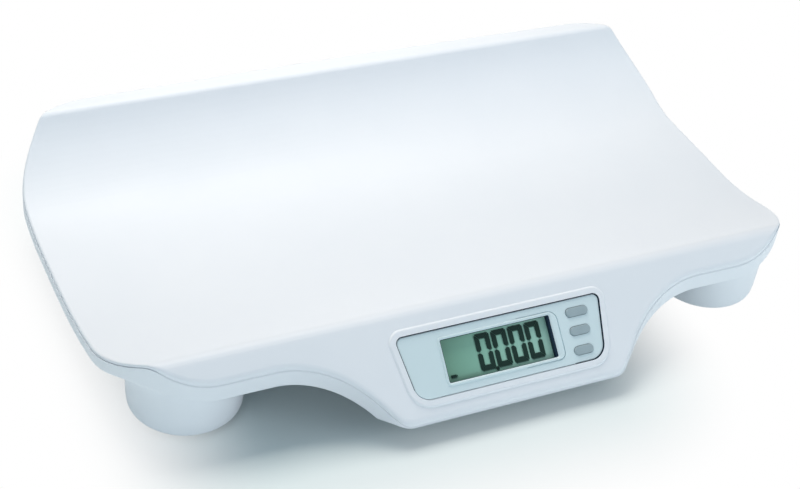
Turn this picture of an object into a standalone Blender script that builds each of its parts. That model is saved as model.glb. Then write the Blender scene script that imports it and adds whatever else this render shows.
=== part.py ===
"""Digital baby weighing scale: a moulded trough on four round feet, with a display and three keys in front.

Frame: origin on the floor under the middle of the outline, +X along the trough to the right,
+Y to the high back wall, +Z up. Sizes are in metres.
"""

import math

import bmesh
import bpy
from mathutils import Matrix, Vector

# Overall form
overall_length = 0.550
overall_depth = 0.338
rim_height = 0.0925
bed_height = 0.040
ridge_height = 0.0701
apron_clearance = 0.0132
apron_land = 0.0042
front_corner_radius = 0.0685
back_corner_radius = 0.065
front_setback = 0.0420
end_taper = 0.0045
end_bend_radius = 2.0
back_bow = 0.0041
back_bow_radius = 6.0

# Section of the trough
back_flat = 0.013
back_roll_radius = 0.005
back_arc_radius = 0.090
front_arc_radius = 0.227
ridge_radius = 0.009
under_ridge_radius = 0.036
least_radius = 0.002
fascia_angle = math.radians(42.5)

# Plan of the apron
apron_corner_half = 0.086
apron_side_angle = math.radians(44)
apron_corner_radius = 0.016
apron_blend_radius = 0.095

# Shells
shell_wall = 0.0025
seat_gap = 0.0003
body_thickness = 0.0136
tray_setback = 0.0006
tray_edge_radius = 0.0020
base_edge_radius = 0.0036
overrun = 0.010

# Display pod under the front of the base
pod_half_width = 0.082
pod_reach = 0.079
pod_front_inset = 0.0065
pod_floor = 0.0046
pod_corner_radius = 0.008
pod_weld = 0.0050

# Control panel, measured on the slope from its own middle line
panel_centre_down = 0.0328
panel_height = 0.0456
panel_top_half = 0.0805
panel_bottom_half = 0.0736
panel_top_radius = 0.0045
panel_bottom_radius = 0.012
panel_thickness = 0.0018
panel_proud = 0.00035
panel_clearance = 0.00045
ledge_width = 0.0022
ledge_thickness = 0.0027
ring_width = 0.0056
ring_slope = 0.0016
ring_height = 0.0012
ring_root = 0.0010
backing_width = 0.0030

# Display window and glass
window_centre_x = -0.005
window_width = 0.086
window_height = 0.0304
window_radius = 0.0012
window_rim_width = 0.0022
window_rim_right = 0.0040
window_rim_height = 0.0005
shroud_wall = 0.0012
shroud_depth = 0.0016
glass_border = 0.0030
glass_thickness = 0.0011
glass_step = 0.0016
holder_wall = 0.0016
holder_ledge = 0.0022
zebra_width = 0.0018
zebra_inset = 0.0016
zebra_margin = 0.0035

# Main board
board_depth = 0.0116
board_thickness = 0.0016
board_left = -0.072
board_right = 0.0775
board_top_margin = 0.0024
board_bottom_margin = 0.0040
board_radius = 0.0015
post_radius = 0.00225
post_bore_radius = 0.0012
board_screw_radius = 0.0009
board_screw_length = 0.0060
board_screw_head_radius = 0.0020
board_screw_head = 0.0013
post_left_x = -0.0665
post_left_top = 0.0085
post_left_bottom = 0.0370
post_right_x = 0.0745
post_right_top = 0.0048
post_lower_x = 0.0702
post_lower_down = 0.0326
chip_radius = 0.0060
chip_height = 0.0016
crystal_length = 0.0100
crystal_radius = 0.0014
capacitor_radius = 0.0025
capacitor_height = 0.0060
socket_length = 0.0110
socket_width = 0.0050
socket_height = 0.0045
chip_x = -0.010
crystal_x = 0.012
capacitor_x = 0.026
socket_x = -0.050
parts_up = 0.0125

# Keys, one under the other
key_left_x = 0.0511
key_top_width = 0.0190
key_middle_width = 0.0174
key_bottom_width = 0.0164
key_height = 0.0084
key_bottom_height = 0.0080
key_top_down = 0.0100
key_pitch = 0.0134
key_bottom_pitch = 0.0138
key_clearance = 0.00035
key_travel = 0.0008
key_proud = 0.0014
key_crown = 0.0006
key_flange = 0.0011
key_flange_thickness = 0.0009
key_stem_radius = 0.0019
switch_side = 0.0060
switch_height = 0.0036
switch_floor = 0.0008
plunger_radius = 0.0017
plunger_clearance = 0.0002
plunger_rise = 0.0010

# Battery bay and its sliding door
bay_wall = 0.0020
cell_radius = 0.0071
cell_length = 0.0495
cell_nub_radius = 0.0027
cell_nub = 0.0010
cell_room = 0.0008
cell_edge = 0.0008
spring_length = 0.0042
spring_wire = 0.0004
spring_turns = 3
spring_big_radius = 0.0045
spring_small_radius = 0.0022
tab_thickness = 0.0005
tab_width = 0.0110
divider_wall = 0.0020
door_thickness = 0.0020
door_lap = 0.0040
door_clearance = 0.0004
door_tongue = 0.0014
door_tongue_thickness = 0.0009
door_grip_depth = 0.0006
door_grip_width = 0.0012
door_grip_pitch = 0.0024
door_grip_count = 5
door_grip_half_length = 0.018
door_corner_radius = 0.002

# Feet and load cells
foot_end_inset = 0.062
foot_front_inset = 0.0886
foot_back_inset = 0.071
foot_radius = 0.040
foot_draft = math.radians(1.5)
foot_edge_radius = 0.005
foot_wall = 0.0025
foot_lift = 0.0026
foot_pocket_radius = 0.0275
foot_pocket_wall = 0.0018
foot_deck_height = 0.0118
foot_deck_hole = 0.011
load_cell_side = 0.034
load_cell_thickness = 0.0012
load_cell_corner = 0.005
load_cell_slot = 0.0020
load_cell_tongue = 0.012
load_cell_tongue_end = 0.0060
load_cell_frame = 0.0050
gauge_length = 0.007
gauge_width = 0.006
gauge_height = 0.0012
disc_gap = 0.0010
disc_thickness = 0.0055
disc_edge = 0.0010
disc_nub_radius = 0.0045
pad_radius = 0.021
pad_thickness = 0.0024
pad_edge = 0.0006
pillar_radius = 0.0035
foot_screw_radius = 0.0012
foot_screw_bite = 0.0010
screw_head_radius = 0.0027
screw_head_height = 0.0014
peg_radius = 0.0013
peg_head_radius = 0.0025
peg_head = 0.0011
cell_peg_head = 0.0008
lead_hole_radius = 0.0045

# Screws that hold the tray to the base
case_screw_end_inset = 0.110
case_boss_radius = 0.0045
case_well_radius = 0.0034
case_well_depth = 0.0030
case_hole_radius = 0.0018
case_screw_radius = 0.0014
case_bore_radius = 0.0017
case_screw_length = 0.0056
tray_boss_radius = 0.0036
tray_boss_bore_top = 0.0012

# Wires
lead_radius = 0.0011
lead_rise = 0.0009
lead_bend = 0.0040
lead_entry_inset = 0.0155
lead_entry_step = 0.0050
lead_pod_inset = 0.0100
lead_knee_inset = 0.048
lead_stride = 0.025
straight_turn = math.radians(15)
battery_lead_radius = 0.0008
battery_lead_step = 0.0040
lug_width = 0.0030
lug_rise = 0.0060

# Rib under the bed of the tray
rib_width = 0.0016
rib_height = 0.0038
rib_half_length = 0.100

# Facets
corner_steps = 6
small_steps = 3
bend_steps = 2
ridge_steps = 4
front_steps = 6
back_steps = 6
drum_steps = 24
disc_steps = 16
cell_steps = 12
screw_steps = 8
spring_facets = 6
spring_sides = 4

# Shares
inset_shares = (0.134, 0.5, 1.0)
edge_limit_share = 0.45
head_chamfer_share = 0.35
gauge_offset_share = 0.20
gauge_shares = ((1.0, 0.0), (1.0, 0.6), (0.7, 1.0))
bend_share = 0.45
rib_shares = (0.36, 0.64)
case_screw_shares = (0.13, 0.87)
key_end_share = 0.999
key_crown_shares = ((1.0, 0.0), (0.90, 0.55), (0.68, 0.90), (0.36, 1.0))
chip_shares = ((1.0, 0.0), (0.86, 0.55), (0.5, 0.92))


def clear_scene():
    for old in list(bpy.data.objects):
        bpy.data.objects.remove(old, do_unlink=True)


def plastic(name, colour, roughness, metallic=0.0):
    made = bpy.data.materials.new(name)
    made.use_nodes = True
    shader = made.node_tree.nodes["Principled BSDF"]
    shader.inputs["Base Color"].default_value = (*colour, 1.0)
    shader.inputs["Roughness"].default_value = roughness
    shader.inputs["Metallic"].default_value = metallic
    made.diffuse_color = (*colour, 1.0)
    return made


def add_object(name, bm, material, parent=None, location=(0, 0, 0)):
    """Closes a bmesh into a named object; its place is its location under its parent."""
    bmesh.ops.recalc_face_normals(bm, faces=bm.faces)
    mesh = bpy.data.meshes.new(name)
    bm.to_mesh(mesh)
    bm.free()
    mesh.shade_smooth()
    mesh.set_sharp_from_angle(angle=math.radians(32))
    mesh.materials.append(material)
    made = bpy.data.objects.new(name, mesh)
    bpy.context.scene.collection.objects.link(made)
    made.parent = parent
    made.location = location
    return made


def add_cutter(name, bm, parent=None, location=(0, 0, 0)):
    made = add_object(name, bm, MATERIALS["cutter"], parent, location)
    made.hide_render = True
    made.display_type = "WIRE"
    return made


def combine(target, tool, operation):
    """Boolean of one object with a hidden one: DIFFERENCE cuts, UNION welds, INTERSECT trims."""
    step = target.modifiers.new(tool.name, "BOOLEAN")
    step.operation = operation
    step.object = tool
    step.solver = "EXACT"


def weld(target, name, bm, parent=None, location=(0, 0, 0)):
    combine(target, add_cutter(name, bm, parent, location), "UNION")


def cut(target, name, bm, parent=None, location=(0, 0, 0)):
    combine(target, add_cutter(name, bm, parent, location), "DIFFERENCE")


def arc(centre, radius, start, end, steps):
    """Points on an arc, both ends included."""
    turns = [start + (end - start) * i / steps for i in range(steps + 1)]
    return [(centre[0] + radius * math.cos(a), centre[1] + radius * math.sin(a)) for a in turns]


def rounded_polygon(corners, radii, steps):
    """A closed outline with each corner replaced by a tangent arc of its own radius and number of facets."""
    outline = []
    count = len(corners)
    for i in range(count):
        corner = Vector(corners[i])
        before = (Vector(corners[i - 1]) - corner).normalized()
        after = (Vector(corners[(i + 1) % count]) - corner).normalized()
        half = math.acos(max(-1, min(1, before.dot(after)))) / 2
        if radii[i] <= 0:
            outline.append(tuple(corner))
            continue
        start = corner + before * (radii[i] / math.tan(half))
        centre = corner + (before + after).normalized() * (radii[i] / math.sin(half))
        first = start - centre
        turn = math.pi - 2 * half
        if before.x * after.y - before.y * after.x > 0:
            turn = -turn
        for k in range(steps[i] + 1):
            spoke = Matrix.Rotation(turn * k / steps[i], 2) @ first
            outline.append(tuple(centre + spoke))
    return outline


def rounded_rectangle(low_x, low_y, high_x, high_y, radius, steps=small_steps):
    corners = ((low_x, low_y), (high_x, low_y), (high_x, high_y), (low_x, high_y))
    return rounded_polygon(corners, (radius,) * 4, (steps,) * 4)


def offset_outline(outline, distance):
    """The outline moved outward by distance, with mitred corners; it runs anticlockwise."""
    moved = []
    count = len(outline)
    for i in range(count):
        here = Vector(outline[i])
        back = (here - Vector(outline[i - 1])).normalized()
        ahead = (Vector(outline[(i + 1) % count]) - here).normalized()
        back_normal = Vector((back.y, -back.x))
        ahead_normal = Vector((ahead.y, -ahead.x))
        middle = (back_normal + ahead_normal).normalized()
        moved.append(tuple(here + middle * (distance / middle.dot(ahead_normal))))
    return moved


def prism(outline, low, high, bm=None):
    """An upright solid over a flat outline."""
    bm = bm or bmesh.new()
    floor = [bm.verts.new((x, y, low)) for x, y in outline]
    roof = [bm.verts.new((x, y, high)) for x, y in outline]
    bm.faces.new(floor[::-1])
    bm.faces.new(roof)
    for i in range(len(outline)):
        bm.faces.new((floor[i - 1], floor[i], roof[i], roof[i - 1]))
    return bm


def layers(outlines_and_heights, bm=None):
    """A solid through a stack of matching outlines, each at its own height."""
    bm = bm or bmesh.new()
    rows = [[bm.verts.new((x, y, z)) for x, y in outline] for outline, z in outlines_and_heights]
    bm.faces.new(rows[0][::-1])
    bm.faces.new(rows[-1])
    for lower, upper in zip(rows, rows[1:]):
        for i in range(len(lower)):
            bm.faces.new((lower[i - 1], lower[i], upper[i], upper[i - 1]))
    return bm


def circle(radius, steps, centre=(0, 0)):
    turns = [2 * math.pi * (i + 0.5) / steps for i in range(steps)]
    return [(centre[0] + radius * math.cos(a), centre[1] + radius * math.sin(a)) for a in turns]


def turned(section, steps, centre=(0, 0), bm=None):
    """A solid of revolution about an upright axis; a section that starts or ends at radius 0 closes there."""
    bm = bm or bmesh.new()
    solid = min(section[0][0], section[-1][0]) <= 0
    rows = []
    for radius, z in section:
        if radius <= 0:
            rows.append([bm.verts.new((centre[0], centre[1], z))])
        else:
            rows.append([bm.verts.new((x, y, z)) for x, y in circle(radius, steps, centre)])
    pairs = list(zip(rows, rows[1:]))
    if not solid:
        pairs.append((rows[-1], rows[0]))
    for lower, upper in pairs:
        for i in range(steps):
            if len(lower) == 1:
                bm.faces.new((lower[0], upper[i], upper[i - 1]))
            elif len(upper) == 1:
                bm.faces.new((lower[i - 1], lower[i], upper[0]))
            else:
                bm.faces.new((lower[i - 1], lower[i], upper[i], upper[i - 1]))
    return bm


def box(low, high, bm=None):
    outline = ((low[0], low[1]), (high[0], low[1]), (high[0], high[1]), (low[0], high[1]))
    return prism(outline, low[2], high[2], bm)


def cylinder(radius, low, high, place=(0, 0), bm=None, steps=screw_steps):
    return turned(((0, low), (radius, low), (radius, high), (0, high)), steps, place, bm)


def swept(points, radius, sides, bm=None):
    """A round wire along a line of points."""
    bm = bm or bmesh.new()
    places = [Vector(p) for p in points]
    rows = []
    normal = (places[1] - places[0]).orthogonal().normalized()
    for i, place in enumerate(places):
        ahead = (places[min(i + 1, len(places) - 1)] - places[max(i - 1, 0)]).normalized()
        normal = (normal - ahead * normal.dot(ahead)).normalized()
        across = ahead.cross(normal)
        row = []
        for k in range(sides):
            turn = 2 * math.pi * k / sides
            row.append(bm.verts.new(place + (normal * math.cos(turn) + across * math.sin(turn)) * radius))
        rows.append(row)
    bm.faces.new(rows[0][::-1])
    bm.faces.new(rows[-1])
    for lower, upper in zip(rows, rows[1:]):
        for k in range(sides):
            bm.faces.new((lower[k - 1], lower[k], upper[k], upper[k - 1]))
    return bm


def trough_line(depth):
    """Section of the trough from front to back, lying depth under the surface that shows."""
    foot = Vector((-overall_depth / 2, apron_clearance + apron_land))
    up_slope = Vector((math.cos(fascia_angle), math.sin(fascia_angle)))
    outward = Vector((-up_slope.y, up_slope.x))
    ridge_y = foot.x + (ridge_height - foot.y) / math.tan(fascia_angle)
    climb = math.acos(1 - (ridge_height - bed_height) / front_arc_radius)
    front_centre = Vector((ridge_y + front_arc_radius * math.sin(climb), bed_height + front_arc_radius))
    ridge = max(ridge_radius - depth, least_radius)
    if depth > ridge_radius:
        ridge = under_ridge_radius + body_thickness - depth
    ridge_line = foot - outward * (depth + ridge)
    to_line = ridge_line - front_centre
    reach = front_arc_radius + depth + ridge
    half = to_line.dot(up_slope)
    along = -half - math.sqrt(half * half - to_line.length_squared + reach * reach)
    ridge_centre = ridge_line + up_slope * along
    to_front = front_centre - ridge_centre

    back_z = bed_height + back_arc_radius
    roll_z = rim_height - back_roll_radius
    roll_reach = back_arc_radius + back_roll_radius
    back_y = overall_depth / 2 - back_flat - math.sqrt(roll_reach**2 - (back_z - roll_z) ** 2)
    roll = max(back_roll_radius - depth, least_radius)
    roll_z = rim_height - depth - roll
    roll_reach = back_arc_radius + depth + roll
    roll_y = back_y + math.sqrt(roll_reach**2 - (back_z - roll_z) ** 2)
    wall_turn = math.atan2(roll_z - back_z, roll_y - back_y)

    line = [tuple(foot - outward * depth - up_slope * overall_depth)]
    line += arc(ridge_centre, ridge, math.pi / 2 + fascia_angle, math.atan2(to_front.y, to_front.x), ridge_steps)
    front_turn = math.atan2(-to_front.y, -to_front.x)
    line += arc(front_centre, front_arc_radius + depth, front_turn, -math.pi / 2, front_steps)[1:]
    line += arc((back_y, back_z), back_arc_radius + depth, -math.pi / 2, wall_turn, back_steps)
    line += arc((roll_y, roll_z), roll, wall_turn + math.pi, math.pi / 2, small_steps)[1:]
    line.append((overall_depth, rim_height - depth))
    return line


def height_on(line):
    """The height of a section line as a function of y."""

    def height(y):
        for (y0, z0), (y1, z1) in zip(line, line[1:]):
            if y0 <= y <= y1 and y1 > y0:
                return z0 + (z1 - z0) * (y - y0) / (y1 - y0)
        return line[-1][1] if y > line[-1][0] else line[0][1]

    return height


def stations():
    """The places along Y where every trough surface has a crease: bends of the visible and of the under side."""
    seen = [y for y, z in trough_line(0.0)[1:-1]]
    under = [y for y, z in trough_line(body_thickness)[1 : ridge_steps + 2]]
    apart = [y for y in under if min(abs(y - other) for other in seen) > 2 * seat_gap]
    return [-overall_depth] + sorted(seen + apart) + [overall_depth]


def surface(depth, least=-overall_depth):
    """Height of the trough at a depth, as flat strips between the stations, never under least."""
    exact = height_on(trough_line(depth))
    strips = height_on([(y, exact(y)) for y in stations()])
    return lambda y: max(strips(y), least)


def slope_crossing(depth, level):
    """Where the front slope at a depth crosses a level."""
    drop = depth / math.cos(fascia_angle) + level - apron_clearance - apron_land
    return drop / math.tan(fascia_angle) - overall_depth / 2


def plan_outline(grow=0.0):
    """Outline of the whole object seen from above, moved outward by grow, anticlockwise."""
    half_length = overall_length / 2
    front = -overall_depth / 2
    set_back = front + front_setback
    slant_reach = front_setback / math.tan(apron_side_angle)
    top_half = apron_corner_half + slant_reach
    slope = math.atan(back_bow / half_length)
    apex = overall_depth / 2 + back_bow_radius * (1 / math.cos(slope) - 1)
    side = apex - back_bow
    bend = (set_back + front_corner_radius + side - back_corner_radius) / 2
    apron = ((apron_corner_half, front, apron_corner_radius, corner_steps),)
    wing = (
        (top_half, set_back, apron_blend_radius, corner_steps),
        (half_length - end_taper, set_back, front_corner_radius, corner_steps),
        (half_length, bend, end_bend_radius, bend_steps),
        (half_length, side, back_corner_radius, corner_steps),
    )
    right = [*apron, *wing]
    left = [(-x, y, radius, steps) for x, y, radius, steps in reversed(right)]
    corners = [*right, (0.0, apex, back_bow_radius, bend_steps), *left]
    places = [(x, y) for x, y, radius, steps in corners]
    outline = rounded_polygon(places, [c[2] for c in corners], [c[3] for c in corners])
    return offset_outline(outline, grow)


def distance_to(outline, x, y):
    """Shortest distance from a point to a closed outline."""
    best = overall_length
    for i in range(len(outline)):
        ax, ay = outline[i - 1]
        dx, dy = outline[i][0] - ax, outline[i][1] - ay
        share = ((x - ax) * dx + (y - ay) * dy) / (dx * dx + dy * dy)
        share = max(0.0, min(1.0, share))
        best = min(best, math.hypot(x - ax - dx * share, y - ay - dy * share))
    return best


def sheet(bm, outline, creases, height, edge_radius, side, other):
    """One face of a trough-shaped plate: the flat outline, inset, cut at each crease and lifted.

    side is 1 for the upper face and -1 for the lower one, whose edges are rounded the other way.
    """
    flat = bmesh.new()
    face = flat.faces.new([flat.verts.new((x, y, 0)) for x, y in outline])
    if edge_radius > 0:
        done = 0.0
        for share in inset_shares:
            bmesh.ops.inset_individual(
                flat, faces=[face], thickness=edge_radius * share - done, use_even_offset=True
            )
            done = edge_radius * share
    for y in creases:
        everything = flat.verts[:] + flat.edges[:] + flat.faces[:]
        bmesh.ops.bisect_plane(flat, geom=everything, dist=1e-7, plane_co=(0, y, 0), plane_no=(0, 1, 0))
    many_sided = [f for f in flat.faces if len(f.verts) > 4]
    bmesh.ops.triangulate(flat, faces=many_sided, ngon_method="EAR_CLIP")
    placed = {}
    for vert in flat.verts:
        x, y = vert.co.x, vert.co.y
        z = height(y)
        if edge_radius > 0:
            near = min(distance_to(outline, x, y), edge_radius)
            room = abs(height(y) - other(y)) * edge_limit_share
            drop = 1 - math.sqrt(max(0.0, 1 - (1 - near / edge_radius) ** 2))
            z -= side * min(edge_radius, room) * drop
        placed[vert] = bm.verts.new((x, y, z))
    for face in flat.faces:
        bm.faces.new([placed[v] for v in face.verts])
    edge = {plan_key(v): placed[v] for v in flat.verts if v.is_boundary}
    flat.free()
    return edge


def plan_key(vert):
    return round(vert.co.x, 6), round(vert.co.y, 6)


def trough_plate(outline, top, bottom, top_radius=0.0, bottom_radius=0.0, extra_crease=None):
    """A closed plate over a plan outline whose two faces follow heights that depend on y alone."""
    low_y = min(y for x, y in outline)
    high_y = max(y for x, y in outline)
    places = stations() if extra_crease is None else stations() + [extra_crease]
    creases = [y for y in sorted(places) if low_y + seat_gap < y < high_y - seat_gap]
    bm = bmesh.new()
    upper = sheet(bm, outline, creases, top, top_radius, 1, bottom)
    lower = sheet(bm, outline, creases, bottom, bottom_radius, -1, top)
    for edge in [e for e in bm.edges if e.is_boundary]:
        a, b = edge.verts
        if upper.get(plan_key(a)) == a and upper.get(plan_key(b)) == b:
            bm.faces.new((a, b, lower[plan_key(b)], lower[plan_key(a)]))
    return bm


def slope_frame():
    """An empty on the sloping front face: X along the face, Y up the slope, Z straight out of it."""
    foot_z = apron_clearance + apron_land
    run = (ridge_height - foot_z) / math.sin(fascia_angle)
    up = run - ridge_radius - panel_centre_down
    frame = bpy.data.objects.new("slope_frame", None)
    bpy.context.scene.collection.objects.link(frame)
    frame.location = (0, -overall_depth / 2 + up * math.cos(fascia_angle), foot_z + up * math.sin(fascia_angle))
    frame.rotation_euler = (fascia_angle, 0, 0)
    bpy.context.view_layer.update()
    return frame


def panel_outline(grow=0.0):
    half = panel_height / 2
    corners = (
        (-panel_bottom_half, -half),
        (panel_bottom_half, -half),
        (panel_top_half, half),
        (-panel_top_half, half),
    )
    radii = (panel_bottom_radius, panel_bottom_radius, panel_top_radius, panel_top_radius)
    return offset_outline(rounded_polygon(corners, radii, (corner_steps // 2,) * 4), grow)


def on_panel(down):
    """Turns a distance down from the panel's top edge into the frame's own height."""
    return panel_height / 2 - down


def window_outline(grow=0.0, right=0.0):
    half_width, half_height = window_width / 2 + grow, window_height / 2 + grow
    return rounded_rectangle(
        window_centre_x - half_width,
        -half_height,
        window_centre_x + half_width + right,
        half_height,
        window_radius,
    )


def post_places():
    return (
        (post_left_x, on_panel(post_left_top)),
        (post_left_x, on_panel(post_left_bottom)),
        (post_right_x, on_panel(post_right_top)),
        (post_lower_x, on_panel(post_lower_down)),
    )


def keys():
    """Name, middle and size of each key on the panel."""
    middle_down = key_top_down + key_pitch
    return (
        ("top", key_left_x + key_top_width / 2, on_panel(key_top_down), key_top_width, key_height),
        ("middle", key_left_x + key_middle_width / 2, on_panel(middle_down), key_middle_width, key_height),
        (
            "bottom",
            key_left_x + key_bottom_width / 2,
            on_panel(middle_down + key_bottom_pitch),
            key_bottom_width,
            key_bottom_height,
        ),
    )


def key_outline(key, grow=0.0):
    name, x, y, width, height = key
    across, up = width / 2 + grow, height / 2 + grow
    return rounded_rectangle(x - across, y - up, x + across, y + up, up * key_end_share, corner_steps // 2)


def pod_back():
    return pod_reach - overall_depth / 2


def foot_places():
    x = overall_length / 2 - foot_end_inset
    front = foot_front_inset - overall_depth / 2
    back = overall_depth / 2 - foot_back_inset
    return {"front_left": (-x, front), "front_right": (x, front), "back_left": (-x, back), "back_right": (x, back)}


def bed_span():
    """Where the flat bed of the trough starts and ends along Y."""
    level = [y for y, z in trough_line(0.0) if abs(z - bed_height) < seat_gap / 10]
    return min(level), max(level)


def case_screw_places():
    front, back = bed_span()
    x = overall_length / 2 - case_screw_end_inset
    return [(side * x, front + (back - front) * share) for share in case_screw_shares for side in (-1, 1)]


def add_screw(name, radius, length, head_radius, head_height, place, parent=None):
    """A pan-head screw pointing up: its head's seat is at place, and its thread reaches length above it."""
    section = (
        (0, -head_height),
        (head_radius * (1 - head_chamfer_share), -head_height),
        (head_radius, 0),
        (radius, 0),
        (0, length),
    )
    return add_object(name, turned(section, screw_steps), MATERIALS["steel"], parent, place)


def make_tray():
    outline = plan_outline(-tray_setback)
    bm = trough_plate(outline, surface(0.0), surface(shell_wall), top_radius=tray_edge_radius)
    tray = add_object("tray_shell", bm, MATERIALS["white"])

    ring = layers(
        (
            (panel_outline(ring_width), -ring_root),
            (panel_outline(ring_width), 0.0),
            (panel_outline(ring_width - ring_slope), ring_height),
        )
    )
    weld(tray, "display_ring", ring, SLOPE)
    back = panel_back() - seat_gap
    weld(tray, "ring_backing", prism(panel_outline(backing_width), back - ledge_thickness, -ring_root / 2), SLOPE)
    cut(tray, "panel_pocket", prism(panel_outline(panel_clearance), back, overrun), SLOPE)
    cut(tray, "display_opening", prism(panel_outline(-ledge_width), -overrun, overrun), SLOPE)

    low = bed_height - body_thickness + shell_wall + case_well_depth + seat_gap
    boss_top = bed_height - shell_wall / 2
    bosses = bmesh.new()
    bores = bmesh.new()
    for place in case_screw_places():
        cylinder(tray_boss_radius, low, boss_top, place, bosses)
        cylinder(case_bore_radius, low - overrun, bed_height - tray_boss_bore_top, place, bores)
    front, back = bed_span()
    for share in rib_shares:
        y = front + (back - front) * share
        corner = (-rib_half_length, y - rib_width / 2, bed_height - shell_wall - rib_height)
        box(corner, (rib_half_length, y + rib_width / 2, boss_top), bosses)
    weld(tray, "tray_bosses", bosses)
    cut(tray, "tray_bores", bores)


def bay_box():
    """Inside of the battery bay: low x, low y, low z, high x, high y, high z."""
    chamber = cell_length + cell_nub + spring_length + 2 * tab_thickness + 4 * seat_gap
    half = divider_wall / 2 + chamber
    high_y = pod_back() - shell_wall - bay_wall
    low_z = apron_clearance + door_thickness + seat_gap
    return -half, high_y - 4 * cell_radius - 3 * cell_room, low_z, half, high_y, low_z + 2 * cell_radius + cell_room


def make_base():
    inside = surface(body_thickness - shell_wall)
    bottom = surface(body_thickness, apron_clearance)
    crease = slope_crossing(body_thickness, apron_clearance)
    bm = trough_plate(
        plan_outline(), surface(shell_wall + seat_gap), bottom, bottom_radius=base_edge_radius, extra_crease=crease
    )
    base = add_object("base_shell", bm, MATERIALS["white"])

    front = -overall_depth / 2 + pod_front_inset
    pod_plan = rounded_rectangle(-pod_half_width, front, pod_half_width, pod_back(), pod_corner_radius)
    pod = trough_plate(pod_plan, surface(pod_weld), lambda y: apron_clearance, 0.0, base_edge_radius / 2)
    weld(base, "pod_block", pod)

    cavity_top = rim_height + overrun
    pod_floor_top = apron_clearance + pod_floor
    lowest = pod_floor_top + shell_wall
    crease = slope_crossing(body_thickness - shell_wall, lowest)
    cavity_bottom = surface(body_thickness - shell_wall, lowest)
    cavity = trough_plate(plan_outline(-shell_wall), lambda y: cavity_top, cavity_bottom, extra_crease=crease)
    cut(base, "base_cavity", cavity)
    half = pod_half_width - shell_wall
    pod_inner = rounded_rectangle(
        -half, front + shell_wall, half, pod_back() - shell_wall, pod_corner_radius - shell_wall
    )
    cut(base, "pod_cavity", prism(pod_inner, pod_floor_top, cavity_top))

    x0, y0, z0, x1, y1, z1 = bay_box()
    low_corner = (x0 - bay_wall, y0 - bay_wall, apron_clearance + pod_floor / 2)
    high_corner = (x1 + bay_wall, y1 + bay_wall + shell_wall / 2, z1 + bay_wall)
    weld(base, "bay_block", box(low_corner, high_corner))
    chambers = bmesh.new()
    low = apron_clearance - overrun
    box((x0, y0, low), (-divider_wall / 2, y1, z1), chambers)
    box((divider_wall / 2, y0, low), (x1, y1, z1), chambers)
    cut(base, "bay_chambers", chambers)
    slots = bmesh.new()
    room = tab_thickness / 2 + seat_gap
    reach = lug_width / 2 + seat_gap
    y = battery_rows()[0][1]
    for side in (-1, 1):
        x = side * (x1 - room)
        box((x - room, y - reach, z1 - bay_wall), (x + room, y + reach, z1 + 2 * bay_wall), slots)
    cut(base, "lug_slots", slots)

    half = x1 + door_lap
    recess_top = z0
    lip = y0 - door_lap
    past = pod_back() + overrun
    cut(base, "door_recess", box((-half, lip, low), (half, past, recess_top)))
    groove_low = recess_top - 3 * seat_gap - door_tongue_thickness
    reach = door_tongue + door_clearance
    cut(base, "door_groove", box((-half - reach, lip - reach, groove_low), (half + reach, past, recess_top)))

    pegs = bmesh.new()
    plate_top = foot_lift + foot_wall
    for x, y in peg_places():
        section = (
            (0, foot_lift - seat_gap - peg_head),
            (peg_head_radius, foot_lift - seat_gap),
            (peg_radius, foot_lift - seat_gap),
            (peg_radius, plate_top + seat_gap),
            (pillar_radius, plate_top + seat_gap),
            (pillar_radius, inside(y) - shell_wall / 2),
            (0, inside(y) - shell_wall / 2),
        )
        turned(section, screw_steps, (x, y), pegs)
    weld(base, "foot_pegs", pegs)

    floor_low = bed_height - body_thickness
    high = floor_low + shell_wall + case_well_depth
    seat = floor_low + case_well_depth
    bosses = bmesh.new()
    wells = bmesh.new()
    for place in case_screw_places():
        cylinder(case_boss_radius, floor_low + shell_wall / 2, high, place, bosses)
        section = (
            (0, floor_low - overrun),
            (case_well_radius, floor_low - overrun),
            (case_well_radius, seat),
            (case_hole_radius, seat),
            (case_hole_radius, high + overrun),
            (0, high + overrun),
        )
        turned(section, screw_steps, place, wells)
    for place in foot_places().values():
        cylinder(lead_hole_radius, foot_lift, rim_height, place, wells)
    weld(base, "case_bosses", bosses)
    cut(base, "case_wells", wells)


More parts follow.
